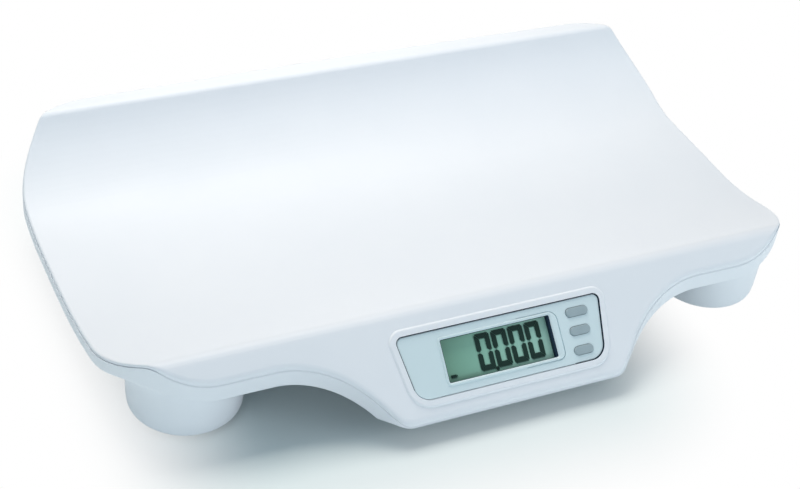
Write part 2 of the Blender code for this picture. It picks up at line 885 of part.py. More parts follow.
def make_feet():
    """Four drums whose tops follow the underside of the base, each with a pocket for its load cell."""
    under = surface(body_thickness + seat_gap)
    half_length = overall_length / 2 + overrun
    half_depth = overall_depth / 2 + overrun
    field = rounded_rectangle(-half_length, -half_depth, half_length, half_depth, 0)
    trimmer = add_cutter("under_base", trough_plate(field, lambda y: overall_depth, under))

    draft = math.tan(foot_draft) * rim_height
    edge_centre = (foot_radius - foot_edge_radius, foot_lift + foot_edge_radius)
    plate_top = foot_lift + foot_wall
    deck_low, deck_high = foot_deck_height, foot_deck_height + foot_wall
    pocket_out = foot_pocket_radius + foot_pocket_wall
    section = [
        (foot_pocket_radius, foot_lift),
        *arc(edge_centre, foot_edge_radius, -math.pi / 2, 0, small_steps),
        (foot_radius + draft, rim_height),
        (foot_radius + draft - foot_wall, rim_height),
        (foot_radius - foot_wall, plate_top),
        (pocket_out, plate_top),
        (pocket_out, deck_high),
        (foot_deck_hole, deck_high),
        (foot_deck_hole, deck_low),
        (foot_pocket_radius, deck_low),
    ]
    cell_low = deck_low - seat_gap - load_cell_thickness
    reach = cell_peg_reach()
    for name, (x, y) in foot_places().items():
        housing = add_object(
            "foot_housing_" + name, turned(section, drum_steps), MATERIALS["white"], None, (x, y, 0)
        )
        combine(housing, trimmer, "DIFFERENCE")
        shafts = bmesh.new()
        pegs = bmesh.new()
        for side in (-1, 1):
            cylinder(peg_radius + seat_gap, 0, plate_top + seat_gap, (side * peg_reach(), 0), shafts)
            peg = (
                (0, cell_low - seat_gap - cell_peg_head),
                (peg_head_radius, cell_low - seat_gap),
                (peg_radius, cell_low - seat_gap),
                (peg_radius, deck_low + foot_wall / 2),
                (0, deck_low + foot_wall / 2),
            )
            turned(peg, screw_steps, (side * reach, reach), pegs)
        cut(housing, "housing_holes_" + name, shafts, None, (x, y, 0))
        weld(housing, "cell_pegs_" + name, pegs, None, (x, y, 0))


def cell_peg_reach():
    return (load_cell_side - load_cell_frame) / 2


def peg_reach():
    return (foot_pocket_radius + foot_pocket_wall + foot_radius - foot_wall) / 2


def peg_places():
    return [(x + side * peg_reach(), y) for x, y in foot_places().values() for side in (-1, 1)]


def make_load_cells():
    """A square steel spring plate in each foot, with a tongue between two slots and a gauge under potting."""
    high = foot_deck_height - seat_gap
    low = high - load_cell_thickness
    half = load_cell_side / 2
    plate = rounded_rectangle(-half, -half, half, half, load_cell_corner)
    inner = half - load_cell_frame
    tongue = load_cell_tongue / 2
    wide = tongue + load_cell_slot
    end = load_cell_tongue_end
    u_slot = (
        (-wide, inner),
        (-wide, -end - load_cell_slot),
        (wide, -end - load_cell_slot),
        (wide, inner),
        (tongue, inner),
        (tongue, -end),
        (-tongue, -end),
        (-tongue, inner),
    )
    reach = cell_peg_reach()
    gauge_y = load_cell_side * gauge_offset_share
    gauge = layers(
        [
            (
                rounded_rectangle(
                    -gauge_width / 2 * s,
                    gauge_y - gauge_length / 2 * s,
                    gauge_width / 2 * s,
                    gauge_y + gauge_length / 2 * s,
                    gauge_width / 4 * s,
                ),
                high - seat_gap + (gauge_height + seat_gap) * lift,
            )
            for s, lift in gauge_shares
        ]
    )
    cap = add_cutter("gauge_cap", gauge)
    for name, (x, y) in foot_places().items():
        cell = add_object("load_cell_" + name, prism(plate, low, high), MATERIALS["steel"], None, (x, y, 0))
        holes = prism(u_slot, low - overrun, high + overrun)
        for side in (-1, 1):
            cylinder(peg_radius + seat_gap, low - overrun, high + overrun, (side * reach, reach), holes)
        cylinder(foot_screw_radius + seat_gap, low - overrun, high + overrun, (0, 0), holes)
        cut(cell, "cell_slots_" + name, holes, None, (x, y, 0))
        weld(cell, "gauge_cap_" + name, gauge_copy(cap), None, (x, y, 0))
    bpy.data.objects.remove(cap, do_unlink=True)


def gauge_copy(source):
    bm = bmesh.new()
    bm.from_mesh(source.data)
    return bm


def make_foot_discs():
    """The loose foot under each load cell: a stiff disc held on the tongue, with a rubber pad below."""
    cell_low = foot_deck_height - seat_gap - load_cell_thickness
    disc_low = pad_thickness
    disc_high = disc_low + disc_thickness
    radius = foot_pocket_radius - disc_gap
    well = screw_head_radius + seat_gap
    well_top = disc_low + screw_head_height + 2 * seat_gap
    shank = foot_screw_radius + seat_gap
    section = (
        (well, disc_low),
        (radius - disc_edge, disc_low),
        (radius, disc_low + disc_edge),
        (radius, disc_high),
        (disc_nub_radius, disc_high),
        (disc_nub_radius, cell_low - seat_gap),
        (shank, cell_low - seat_gap),
        (shank, well_top),
        (well, well_top),
    )
    pad_top = pad_thickness - seat_gap
    pad = ((0, 0), (pad_radius - pad_edge, 0), (pad_radius, pad_edge), (pad_radius, pad_top), (0, pad_top))
    length = foot_deck_height - well_top + foot_screw_bite
    for name, (x, y) in foot_places().items():
        add_object("foot_disc_" + name, turned(section, disc_steps), MATERIALS["grey"], None, (x, y, 0))
        add_object("foot_pad_" + name, turned(pad, disc_steps), MATERIALS["rubber"], None, (x, y, 0))
        place = (x, y, well_top - seat_gap)
        add_screw("foot_screw_" + name, foot_screw_radius, length, screw_head_radius, screw_head_height, place)


def make_case_screws():
    """Four screws that hold the tray to the base, from below."""
    seat = bed_height - body_thickness + case_well_depth - seat_gap
    for number, (x, y) in enumerate(case_screw_places()):
        name = f"case_screw_{number + 1}"
        add_screw(name, case_screw_radius, case_screw_length, screw_head_radius, screw_head_height, (x, y, seat))


def panel_back():
    return panel_proud - panel_thickness


def glass_front():
    return panel_back() - shroud_depth - seat_gap


def board_front():
    return panel_proud - board_depth


def make_panel():
    back = panel_back()
    panel = add_object("control_panel", prism(panel_outline(), back, panel_proud), MATERIALS["panel"], SLOPE)
    holes = bmesh.new()
    for key in keys():
        prism(key_outline(key, key_clearance), -overrun, overrun, holes)
    cut(panel, "key_holes", holes, SLOPE)
    wider = window_rim_right - window_rim_width
    rim = layers(
        (
            (window_outline(window_rim_width, wider), panel_proud - ring_root),
            (window_outline(window_rim_width, wider), panel_proud),
            (window_outline(window_rim_width / 2, wider), panel_proud + window_rim_height),
        )
    )
    weld(panel, "window_rim", rim, SLOPE)
    root = back + panel_thickness / 2
    weld(panel, "window_shroud", prism(window_outline(shroud_wall), back - shroud_depth, root), SLOPE)
    posts = bmesh.new()
    bores = bmesh.new()
    low = board_front() + seat_gap
    for place in post_places():
        cylinder(post_radius, low, root, place, posts)
        cylinder(post_bore_radius, low - overrun, low + board_screw_length, place, bores)
    weld(panel, "panel_posts", posts, SLOPE)
    cut(panel, "window_opening", prism(window_outline(), -overrun, overrun), SLOPE)
    cut(panel, "post_bores", bores, SLOPE)


def make_display():
    """The display glass, its holder and the two rubber strips that connect it to the board."""
    front = glass_front()
    lower_front = front - glass_thickness
    back = lower_front - glass_thickness
    glass = add_object(
        "lcd_glass", prism(window_outline(glass_border), back, lower_front), MATERIALS["glass"], SLOPE
    )
    half_width, half_height = window_width / 2 + glass_border, window_height / 2 + glass_border
    upper = rounded_rectangle(
        window_centre_x - half_width,
        -half_height + glass_step,
        window_centre_x + half_width,
        half_height,
        window_radius,
    )
    weld(glass, "upper_glass", prism(upper, lower_front - glass_thickness / 2, front), SLOPE)

    low = board_front() + seat_gap
    room = glass_border + seat_gap
    body = prism(window_outline(room + holder_wall), low, front - seat_gap)
    holder = add_object("lcd_holder", body, MATERIALS["dark"], SLOPE)
    cut(holder, "glass_pocket", prism(window_outline(room), back - seat_gap, overrun), SLOPE)
    well = window_outline(room - holder_ledge - zebra_width - zebra_inset)
    cut(holder, "holder_well", prism(well, low - overrun, overrun), SLOPE)
    slots = bmesh.new()
    x0 = window_centre_x - window_width / 2 + zebra_margin
    x1 = window_centre_x + window_width / 2 - zebra_margin
    half = zebra_width / 2
    for side, name in ((-1, "lower"), (1, "upper")):
        y = side * (window_height / 2 + room - holder_wall - half)
        slot_low = (x0 - seat_gap, y - half - seat_gap, low - overrun)
        box(slot_low, (x1 + seat_gap, y + half + seat_gap, back), slots)
        strip = box((x0, y - half, low), (x1, y + half, back - seat_gap))
        add_object("zebra_strip_" + name, strip, MATERIALS["rubber"], SLOPE)
    cut(holder, "zebra_slots", slots, SLOPE)


def make_board():
    """The main board with its parts soldered on the back, on four posts of the panel."""
    front = board_front()
    back = front - board_thickness
    low_v, high_v = on_panel(panel_height - board_bottom_margin), on_panel(board_top_margin)
    outline = rounded_rectangle(board_left, low_v, board_right, high_v, board_radius)
    board = add_object("main_board", prism(outline, back, front), MATERIALS["board"], SLOPE)
    root = back + board_thickness / 2
    parts = bmesh.new()
    blob = [(chip_radius * wide, back - chip_height * tall) for wide, tall in chip_shares]
    turned(((0, root), (chip_radius, root), *blob, (0, back - chip_height)), cell_steps, (chip_x, 0), parts)
    side = crystal_radius
    box((crystal_x - side, -crystal_length / 2, back - 2 * side), (crystal_x + side, crystal_length / 2, root), parts)
    cylinder(capacitor_radius, back - capacitor_height, root, (capacitor_x, parts_up), parts)
    half, across = socket_length / 2, socket_width / 2
    corner = (socket_x - half, parts_up - across, back - socket_height)
    box(corner, (socket_x + half, parts_up + across, root), parts)
    weld(board, "board_parts", parts, SLOPE)
    holes = bmesh.new()
    for number, place in enumerate(post_places()):
        cylinder(post_bore_radius + seat_gap, back - overrun, front + overrun, place, holes)
        add_screw(
            f"board_screw_{number + 1}",
            board_screw_radius,
            board_screw_length,
            board_screw_head_radius,
            board_screw_head,
            (*place, back - seat_gap),
            SLOPE,
        )
    cut(board, "board_holes", holes, SLOPE)


def make_keys():
    """Three keys that slide straight into the panel, each on the plunger of its own switch."""
    back = panel_back()
    switch_low = board_front() + seat_gap
    switch_high = switch_low + switch_height
    plunger_high = switch_high + plunger_rise
    plunger_low = switch_low + switch_floor + key_travel + seat_gap
    flange_high = back - seat_gap
    flange_low = flange_high - key_flange_thickness
    root = (flange_low + flange_high) / 2
    bore = plunger_radius + plunger_clearance
    half = switch_side / 2
    for key in keys():
        name, x, y, width, height = key
        flange = prism(key_outline(key, key_flange), flange_low, flange_high)
        button = add_object("button_" + name, flange, MATERIALS["key"], SLOPE)
        edge = panel_proud + key_proud - key_crown
        rows = [(key_outline(key), root)]
        for share, lift in key_crown_shares:
            rows.append((key_outline(key, (share - 1) * height / 2), edge + key_crown * lift))
        weld(button, "cap_" + name, layers(rows), SLOPE)
        weld(button, "stem_" + name, cylinder(key_stem_radius, plunger_high + seat_gap, root, (x, y)), SLOPE)
        body = box((x - half, y - half, switch_low), (x + half, y + half, switch_high))
        switch = add_object("key_switch_" + name, body, MATERIALS["dark"], SLOPE)
        hole = cylinder(bore, switch_low + switch_floor, switch_high + overrun, (x, y), steps=cell_steps)
        cut(switch, "switch_bore_" + name, hole, SLOPE)
        plunger = cylinder(plunger_radius, plunger_low, plunger_high, (x, y), steps=cell_steps)
        add_object("switch_plunger_" + name, plunger, MATERIALS["key"], SLOPE)


def make_door():
    """The sliding door under the battery bay; its tongue runs in a groove of the pod's floor."""
    x0, y0, z0, x1, y1, z1 = bay_box()
    half = x1 + door_lap - door_clearance
    front = y0 - door_lap + door_clearance
    low, high = apron_clearance, apron_clearance + door_thickness
    corners = ((-half, front), (half, front), (half, pod_back()), (-half, pod_back()))
    radii = (0, 0, door_corner_radius, door_corner_radius)
    door = add_object("battery_door", prism(rounded_polygon(corners, radii, (small_steps,) * 4), low, high), MATERIALS["white"])
    out, inward = half + door_tongue, half - door_tongue
    tongue = (
        (-out, front - door_tongue),
        (out, front - door_tongue),
        (out, y1),
        (inward, y1),
        (inward, front + door_tongue),
        (-inward, front + door_tongue),
        (-inward, y1),
        (-out, y1),
    )
    tongue_high = high - seat_gap
    weld(door, "door_tongue", prism(tongue, tongue_high - door_tongue_thickness, tongue_high))
    grips = bmesh.new()
    for number in range(door_grip_count):
        y = pod_back() - door_grip_pitch * (number + 1)
        low_corner = (-door_grip_half_length, y - door_grip_width / 2, low - overrun)
        box(low_corner, (door_grip_half_length, y + door_grip_width / 2, low + door_grip_depth), grips)
    cut(door, "door_grips", grips)


def battery_rows():
    x0, y0, z0, x1, y1, z1 = bay_box()
    return (y0 + cell_room + cell_radius, y1 - cell_room - cell_radius), z0 + cell_room / 2 + cell_radius


def coil_line(start, direction, y, z):
    """Centre line of a conical coil spring along X, rooted in its contact plate at start."""
    points = [(start - direction * tab_thickness / 2, y + spring_big_radius, z)]
    low = spring_wire + seat_gap
    high = spring_length - spring_wire - seat_gap
    for i in range(spring_turns * spring_facets + 1):
        share = i / (spring_turns * spring_facets)
        radius = spring_big_radius + (spring_small_radius - spring_big_radius) * share
        turn = 2 * math.pi * spring_turns * share
        along = start + direction * (low + (high - low) * share)
        points.append((along, y + radius * math.cos(turn), z + radius * math.sin(turn)))
    return points


def make_batteries():
    """Four round cells in two rows, each pair between two contact plates that carry a coil spring each."""
    rows, z = battery_rows()
    x0, y0, z0, x1, y1, z1 = bay_box()
    section = (
        (0, 0),
        (cell_radius - cell_edge, 0),
        (cell_radius, cell_edge),
        (cell_radius, cell_length - cell_edge),
        (cell_radius - cell_edge, cell_length),
        (cell_nub_radius, cell_length),
        (cell_nub_radius, cell_length + cell_nub),
        (0, cell_length + cell_nub),
    )
    number = 0
    for low_x, high_x, side in ((x0, -divider_wall / 2, "left"), (divider_wall / 2, x1, "right")):
        for wall, direction, y in ((low_x, 1, rows[0]), (high_x, -1, rows[1])):
            number += 1
            face = wall + direction * (seat_gap + tab_thickness)
            flat_end = face + direction * spring_length
            cell = add_object(
                f"battery_{number}", turned(section, cell_steps), MATERIALS["cell"], None, (flat_end, y, z)
            )
            cell.rotation_euler = (0, direction * math.pi / 2, 0)
            plate = bmesh.new()
            near, far = sorted((wall + direction * seat_gap, face))
            half = tab_width / 2
            box((near, rows[0] - half, z - half), (far, rows[1] + half, z + half), plate)
            where = "outer" if abs(wall) > x1 / 2 else "inner"
            contact = add_object(f"battery_contact_{side}_{where}", plate, MATERIALS["steel"])
            spring = swept(coil_line(face, direction, y, z), spring_wire, spring_sides)
            weld(contact, f"coil_{side}_{where}", spring)
            if where == "outer":
                lug = box(
                    (near, rows[1] - lug_width / 2, z), (far, rows[1] + lug_width / 2, z1 + bay_wall + lug_rise)
                )
                weld(contact, f"lug_{side}", lug)


def add_wire(name, corners, bend, radius, material):
    """A round wire on a curve that runs through its corner points with soft bends."""
    data = bpy.data.curves.new(name, "CURVE")
    data.dimensions = "3D"
    data.bevel_depth = radius
    data.bevel_resolution = 1
    data.use_fill_caps = True
    places = smooth_route(corners, bend)
    spline = data.splines.new("POLY")
    spline.points.add(len(places) - 1)
    for point, place in zip(spline.points, places):
        point.co = (*place, 1.0)
    data.materials.append(material)
    made = bpy.data.objects.new(name, data)
    bpy.context.scene.collection.objects.link(made)


def smooth_route(corners, bend):
    """The corner points as a route whose sharp turns are eased."""
    points = [Vector(corners[0])]
    for i in range(1, len(corners) - 1):
        here = Vector(corners[i])
        back = Vector(corners[i - 1]) - here
        ahead = Vector(corners[i + 1]) - here
        if back.angle(-ahead) < straight_turn:
            points.append(here)
            continue
        reach = min(bend, back.length * bend_share, ahead.length * bend_share)
        start, end = here + back.normalized() * reach, here + ahead.normalized() * reach
        for k in range(bend_steps + 1):
            t = k / bend_steps
            points.append(start * (1 - t) ** 2 + here * 2 * t * (1 - t) + end * t**2)
    points.append(Vector(corners[-1]))
    return points


def floor_run(start, end, height):
    """Points from start to end in plan, at short strides so that the wire follows the curved floor."""
    start, end = Vector(start), Vector(end)
    strides = math.ceil((end - start).length / lead_stride)
    places = [start.lerp(end, i / strides) for i in range(1, strides + 1)]
    return [(place.x, place.y, height(place.y)) for place in places]


def make_leads():
    """Leads of the load cells along the floor of the base to the board, and the two battery leads."""
    inside = surface(body_thickness - shell_wall)
    x0, y0, z0, x1, y1, z1 = bay_box()
    rise = lead_radius + lead_rise
    back = board_front() - board_thickness
    end = SLOPE.matrix_world @ Vector((0, 0, back - lead_radius - seat_gap))
    over_floor = lambda y: inside(y) + rise
    for number, (name, (x, y)) in enumerate(foot_places().items()):
        side = 1 if x > 0 else -1
        behind = number // 2
        entry = side * (pod_half_width - shell_wall - lead_entry_inset + lead_entry_step * (1 - behind))
        turn_y = pod_back() + overrun * (1 + behind)
        away = x - side * foot_radius
        corners = [(x, y, foot_deck_height + gauge_height + seat_gap), (x, y, over_floor(y)), (away, y, over_floor(y))]
        here = (away, y)
        if behind:
            knee = (away - side * lead_knee_inset, sum(bed_span()) / 2)
            corners += floor_run(here, knee, over_floor)
            here = knee
        corners += floor_run(here, (entry, turn_y), over_floor)
        lip = over_floor(pod_back() - shell_wall)
        corners += [(entry, pod_back(), lip), (entry, pod_back() - lead_pod_inset, lip), (entry, end.y, end.z)]
        add_wire("load_cell_lead_" + name, corners, lead_bend, lead_radius, MATERIALS["wire"])

    rows, z = battery_rows()
    lug_top = z1 + bay_wall + lug_rise
    for side, name, colour in ((-1, "black", "wire"), (1, "red", "red_wire")):
        x = side * (x1 - seat_gap - tab_thickness / 2)
        over = lug_top + battery_lead_radius + seat_gap
        target = SLOPE.matrix_world @ Vector((x, 0, back - battery_lead_radius - 2 * seat_gap))
        corners = [(x, rows[1], over), (x, rows[1], over + battery_lead_step)]
        corners += [(x, rows[0], over + battery_lead_step), tuple(target)]
        add_wire("battery_lead_" + name, corners, battery_lead_step, battery_lead_radius, MATERIALS[colour])


def main():
    global MATERIALS, SLOPE
    clear_scene()
    MATERIALS = {
        "cutter": plastic("cutter", (0.8, 0.2, 0.2), 0.5),
        "white": plastic("white_abs", (0.86, 0.88, 0.91), 0.32),
        "panel": plastic("panel_paint", (0.50, 0.61, 0.66), 0.30),
        "glass": plastic("lcd_green", (0.22, 0.34, 0.26), 0.15),
        "key": plastic("key_grey", (0.33, 0.41, 0.42), 0.45),
        "dark": plastic("dark_plastic", (0.03, 0.03, 0.035), 0.45),
        "board": plastic("board_green", (0.03, 0.16, 0.08), 0.40),
        "steel": plastic("zinc_steel", (0.62, 0.63, 0.65), 0.35, 1.0),
        "grey": plastic("grey_plastic", (0.45, 0.47, 0.50), 0.50),
        "rubber": plastic("dark_rubber", (0.10, 0.10, 0.11), 0.80),
        "cell": plastic("cell_jacket", (0.10, 0.22, 0.40), 0.35),
        "wire": plastic("wire_black", (0.05, 0.05, 0.055), 0.50),
        "red_wire": plastic("wire_red", (0.45, 0.04, 0.03), 0.50),
    }
    SLOPE = slope_frame()
    make_tray()
    make_base()
    make_feet()
    make_load_cells()
    make_foot_discs()
    make_case_screws()
    make_panel()
    make_display()
    make_board()
    make_keys()
    make_door()
    make_batteries()
    make_leads()


main()
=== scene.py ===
import math

import bmesh
import bpy
import numpy as np
from mathutils import Matrix, Vector


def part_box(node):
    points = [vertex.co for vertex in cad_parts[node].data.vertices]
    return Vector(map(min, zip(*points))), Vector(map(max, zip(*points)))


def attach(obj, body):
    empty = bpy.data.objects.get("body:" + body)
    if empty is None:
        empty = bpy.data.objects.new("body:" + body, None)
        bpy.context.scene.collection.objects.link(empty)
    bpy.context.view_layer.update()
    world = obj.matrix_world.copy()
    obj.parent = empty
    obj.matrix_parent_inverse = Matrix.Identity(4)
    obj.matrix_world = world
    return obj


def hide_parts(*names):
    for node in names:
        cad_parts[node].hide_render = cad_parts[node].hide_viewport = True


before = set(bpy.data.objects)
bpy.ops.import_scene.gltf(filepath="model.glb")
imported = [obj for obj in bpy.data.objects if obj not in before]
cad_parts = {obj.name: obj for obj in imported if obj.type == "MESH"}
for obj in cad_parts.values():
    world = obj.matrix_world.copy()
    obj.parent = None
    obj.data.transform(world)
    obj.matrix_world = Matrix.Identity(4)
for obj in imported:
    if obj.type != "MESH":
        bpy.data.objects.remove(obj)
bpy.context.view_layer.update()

# %% [markdown]
# A baby weighing scale is mostly one big curved plastic trough, so this lesson spends its time on large
# smooth surfaces. The rough solids are loaded above. Every cell below either measures them or lays a
# finer surface in the same place, so the joints and the outside size stay what they were. All sizes are
# in metres.

# %% Sizes of the trough
LENGTH, DEPTH = 0.550, 0.338
RIM, BED, RIDGE = 0.0925, 0.040, 0.0701
LIFT, LAND = 0.0132, 0.0042
FASCIA = math.radians(42.5)
FRONT_ARC, BACK_ARC, RIDGE_ARC, ROLL = 0.227, 0.090, 0.009, 0.005
BACK_FLAT = 0.013
WALL, GAP, BODY = 0.0025, 0.0003, 0.0136

# %% [markdown]
# Arcs come first, because every outline here is straight lines joined by tangent arcs. Each corner of a
# polygon is swapped for an arc of its own radius. Drawing the curve by hand would work too, but a rule
# keeps all the corners true when a size changes.


# %% Arcs and outlines
def arc(centre, radius, start, end, steps):
    turns = [start + (end - start) * i / steps for i in range(steps + 1)]
    return [(centre[0] + radius * math.cos(a), centre[1] + radius * math.sin(a)) for a in turns]


def rounded(corners, radii, steps):
    """Swaps each corner for an arc of its own radius; a radius of 0 keeps the corner."""
    steps = steps if isinstance(steps, (list, tuple)) else [steps] * len(corners)
    outline = []
    for i, point in enumerate(corners):
        corner = Vector(point)
        before = (Vector(corners[i - 1]) - corner).normalized()
        after = (Vector(corners[(i + 1) % len(corners)]) - corner).normalized()
        if radii[i] <= 0:
            outline.append(tuple(corner))
            continue
        half = math.acos(before.dot(after)) / 2
        centre = corner + (before + after).normalized() * (radii[i] / math.sin(half))
        first = corner + before * (radii[i] / math.tan(half)) - centre
        turn = math.pi - 2 * half
        if before.x * after.y - before.y * after.x > 0:
            turn = -turn
        for k in range(steps[i] + 1):
            outline.append(tuple(centre + Matrix.Rotation(turn * k / steps[i], 2) @ first))
    return outline


def rectangle(x0, y0, x1, y1, radius, steps=6):
    return rounded(((x0, y0), (x1, y0), (x1, y1), (x0, y1)), (radius,) * 4, steps)


def grown(outline, distance):
    """Moves every side of an outline outwards by the same distance."""
    moved = []
    for i, point in enumerate(outline):
        here = Vector(point)
        back = (here - Vector(outline[i - 1])).normalized()
        ahead = (Vector(outline[(i + 1) % len(outline)]) - here).normalized()
        out = Vector((ahead.y, -ahead.x))
        middle = (Vector((back.y, -back.x)) + out).normalized()
        moved.append(tuple(here + middle * (distance / middle.dot(out))))
    return moved


print("a rounded square has", len(rectangle(0, 0, 1, 1, 0.2)), "points")

# %% [markdown]
# The plan is a wide rounded rectangle with an apron that juts out in front for the display. The two
# blends beside the apron are hollow curves, so their arcs turn the other way. The sides and the back are
# very slightly bowed, as mouldings are, and an arc of several metres does that with only a few points.

# %% Plan of the whole body
SET_BACK, TAPER, BOW = 0.0420, 0.0045, 0.0041
APRON_HALF, APRON_FLARE = 0.086, math.radians(44)
APRON_ROUND, APRON_BLEND = 0.016, 0.095
FRONT_ROUND, SIDE_ROUND, BACK_ROUND, BACK_BOW = 0.0685, 2.0, 0.065, 6.0
BOW_STEPS = 4


def plan(grow=0.0, steps=20):
    half, front, set_back = LENGTH / 2, -DEPTH / 2, SET_BACK - DEPTH / 2
    top = APRON_HALF + SET_BACK / math.tan(APRON_FLARE)
    apex = DEPTH / 2 + BACK_BOW * (1 / math.cos(math.atan(BOW / half)) - 1)
    side = apex - BOW
    bend = (set_back + FRONT_ROUND + side - BACK_ROUND) / 2
    right = [
        (APRON_HALF, front, APRON_ROUND, steps),
        (top, set_back, APRON_BLEND, steps),
        (half - TAPER, set_back, FRONT_ROUND, steps),
        (half, bend, SIDE_ROUND, BOW_STEPS),
        (half, side, BACK_ROUND, steps),
    ]
    left = [(-x, y, radius, count) for x, y, radius, count in reversed(right)]
    corners = [*right, (0.0, apex, BACK_BOW, BOW_STEPS), *left]
    line = rounded([c[:2] for c in corners], [c[2] for c in corners], [c[3] for c in corners])
    return grown(line, grow)


print("the plan has", len(plan()), "points")

# %% [markdown]
# Seen from the end, the trough is one line: a straight sloping front for the display, a tight ridge, a
# long shallow arc down to the bed, a rounder arc up the back and a small roll over the top. The same
# line, laid a little deeper, gives the underside. Working it out from the tangents keeps both parallel.
# Only under the ridge is the lower line much rounder, as the photographed edge is.

# %% Section of the trough
RIDGE_STEPS, FRONT_STEPS, BACK_STEPS, ROLL_STEPS = 12, 36, 26, 10
UNDER_RIDGE, SHARPEST = 0.036, 0.002


def trough_line(depth):
    """Points (y, z) of the section at a depth below the top surface, from the front to the back."""
    foot = Vector((-DEPTH / 2, LIFT + LAND))
    up = Vector((math.cos(FASCIA), math.sin(FASCIA)))
    out = Vector((-up.y, up.x))
    ridge_y = foot.x + (RIDGE - foot.y) / math.tan(FASCIA)
    climb = math.acos(1 - (RIDGE - BED) / FRONT_ARC)
    front = Vector((ridge_y + FRONT_ARC * math.sin(climb), BED + FRONT_ARC))
    ridge = UNDER_RIDGE + BODY - depth if depth > RIDGE_ARC else max(RIDGE_ARC - depth, SHARPEST)
    start = foot - out * (depth + ridge)
    away = start - front
    reach = FRONT_ARC + depth + ridge
    half = away.dot(up)
    top = start + up * (-half - math.sqrt(half * half - away.length_squared + reach * reach))
    turn = front - top

    back_z = BED + BACK_ARC
    back_y = DEPTH / 2 - BACK_FLAT - math.sqrt((BACK_ARC + ROLL) ** 2 - (back_z - RIM + ROLL) ** 2)
    roll = max(ROLL - depth, SHARPEST)
    roll_z = RIM - depth - roll
    roll_y = back_y + math.sqrt((BACK_ARC + depth + roll) ** 2 - (back_z - roll_z) ** 2)
    wall = math.atan2(roll_z - back_z, roll_y - back_y)

    line = [tuple(foot - out * depth - up * DEPTH)]
    line += arc(top, ridge, math.pi / 2 + FASCIA, math.atan2(turn.y, turn.x), RIDGE_STEPS)
    line += arc(front, FRONT_ARC + depth, math.atan2(-turn.y, -turn.x), -math.pi / 2, FRONT_STEPS)[1:]
    line += arc((back_y, back_z), BACK_ARC + depth, -math.pi / 2, wall, BACK_STEPS)
    line += arc((roll_y, roll_z), roll, wall + math.pi, math.pi / 2, ROLL_STEPS)[1:]
    return line + [(DEPTH, RIM - depth)]


def height_at(depth):
    """A rule that gives the section's height at any y."""
    line = trough_line(depth)
    ys, zs = [p[0] for p in line], [p[1] for p in line]
    return lambda y: float(np.interp(y, ys, zs))


CREASES = [y for y, z in trough_line(0.0)[1:-1]]
below = [y for y, z in trough_line(BODY)[1:RIDGE_STEPS + 2]]
CREASES = sorted(CREASES + [y for y in below if min(abs(y - c) for c in CREASES) > 2 * GAP])
print("the section bends at", len(CREASES), "places")

# %% [markdown]
# A plate over the plan is built flat and then lifted: the outline is inset a few times for its rounded
# edge, sliced wherever the section bends, and each point is given its height. Lifting a flat net keeps
# long clean strips, where a dense grid trimmed to the outline would leave a ragged edge.

# %% Curved plates
ROUNDING = (0.03, 0.12, 0.27, 0.5, 0.75, 1.0)
ROOM = 0.45


def edge_distance(outline, points):
    best = np.full(len(points), 1.0)
    for i in range(len(outline)):
        start, end = np.array(outline[i - 1]), np.array(outline[i])
        along = end - start
        share = np.clip(((points - start) @ along) / (along @ along), 0, 1)
        best = np.minimum(best, np.hypot(*(points - start - share[:, None] * along).T))
    return best


def net(bm, outline, creases, height, other, radius, side):
    """One face of a plate; its edge is rounded, but by no more than a share of the plate's thickness."""
    flat = bmesh.new()
    face = flat.faces.new([flat.verts.new((x, y, 0)) for x, y in outline])
    done = 0.0
    for share in ROUNDING if radius > 0 else ():
        bmesh.ops.inset_individual(flat, faces=[face], thickness=radius * share - done, use_even_offset=True)
        done = radius * share
    for y in creases:
        everything = flat.verts[:] + flat.edges[:] + flat.faces[:]
        bmesh.ops.bisect_plane(flat, geom=everything, dist=1e-7, plane_co=(0, y, 0), plane_no=(0, 1, 0))
    bmesh.ops.triangulate(flat, faces=[f for f in flat.faces if len(f.verts) > 4], ngon_method="EAR_CLIP")
    verts = list(flat.verts)
    near = edge_distance(outline, np.array([(v.co.x, v.co.y) for v in verts]))
    placed = {}
    for vert, distance in zip(verts, near):
        z = height(vert.co.y)
        if radius > 0 and distance < radius:
            room = abs(z - other(vert.co.y)) * ROOM
            z -= side * min(radius, room) * (1 - math.sqrt(1 - (1 - distance / radius) ** 2))
        placed[vert] = bm.verts.new((vert.co.x, vert.co.y, z))
    for face in flat.faces:
        bm.faces.new([placed[v] for v in face.verts])
    edge = {(round(v.co.x, 6), round(v.co.y, 6)): placed[v] for v in verts if v.is_boundary}
    flat.free()
    return edge


def plate(outline, top, bottom, top_radius=0.0, bottom_radius=0.0, extra=()):
    """A closed plate between two heights; its two faces are stitched together along the outline."""
    low, high = min(p[1] for p in outline), max(p[1] for p in outline)
    creases = [y for y in sorted([*CREASES, *extra]) if low + GAP < y < high - GAP]
    bm = bmesh.new()
    upper = net(bm, outline, creases, top, bottom, top_radius, 1)
    lower = net(bm, outline, creases, bottom, top, bottom_radius, -1)
    for edge in [e for e in bm.edges if e.is_boundary]:
        keys = [(round(v.co.x, 6), round(v.co.y, 6)) for v in edge.verts]
        if [upper.get(k) for k in keys] == list(edge.verts):
            bm.faces.new((*edge.verts, lower[keys[1]], lower[keys[0]]))
    return bm


test = plate(plan(0, 8), height_at(0), height_at(WALL))
open_edges = sum(edge.is_boundary for edge in test.edges)
print("a coarse plate has", len(test.faces), "faces and", open_edges, "open edges")
test.free()

# %% [markdown]
# The smaller parts are either spun, as the feet and the screw wells are, or stacked: one outline above
# the other, joined by walls. Ready-made cylinders and cubes would need many cuts afterwards, whereas a
# section drawn once gives every step and rounding at the same time.


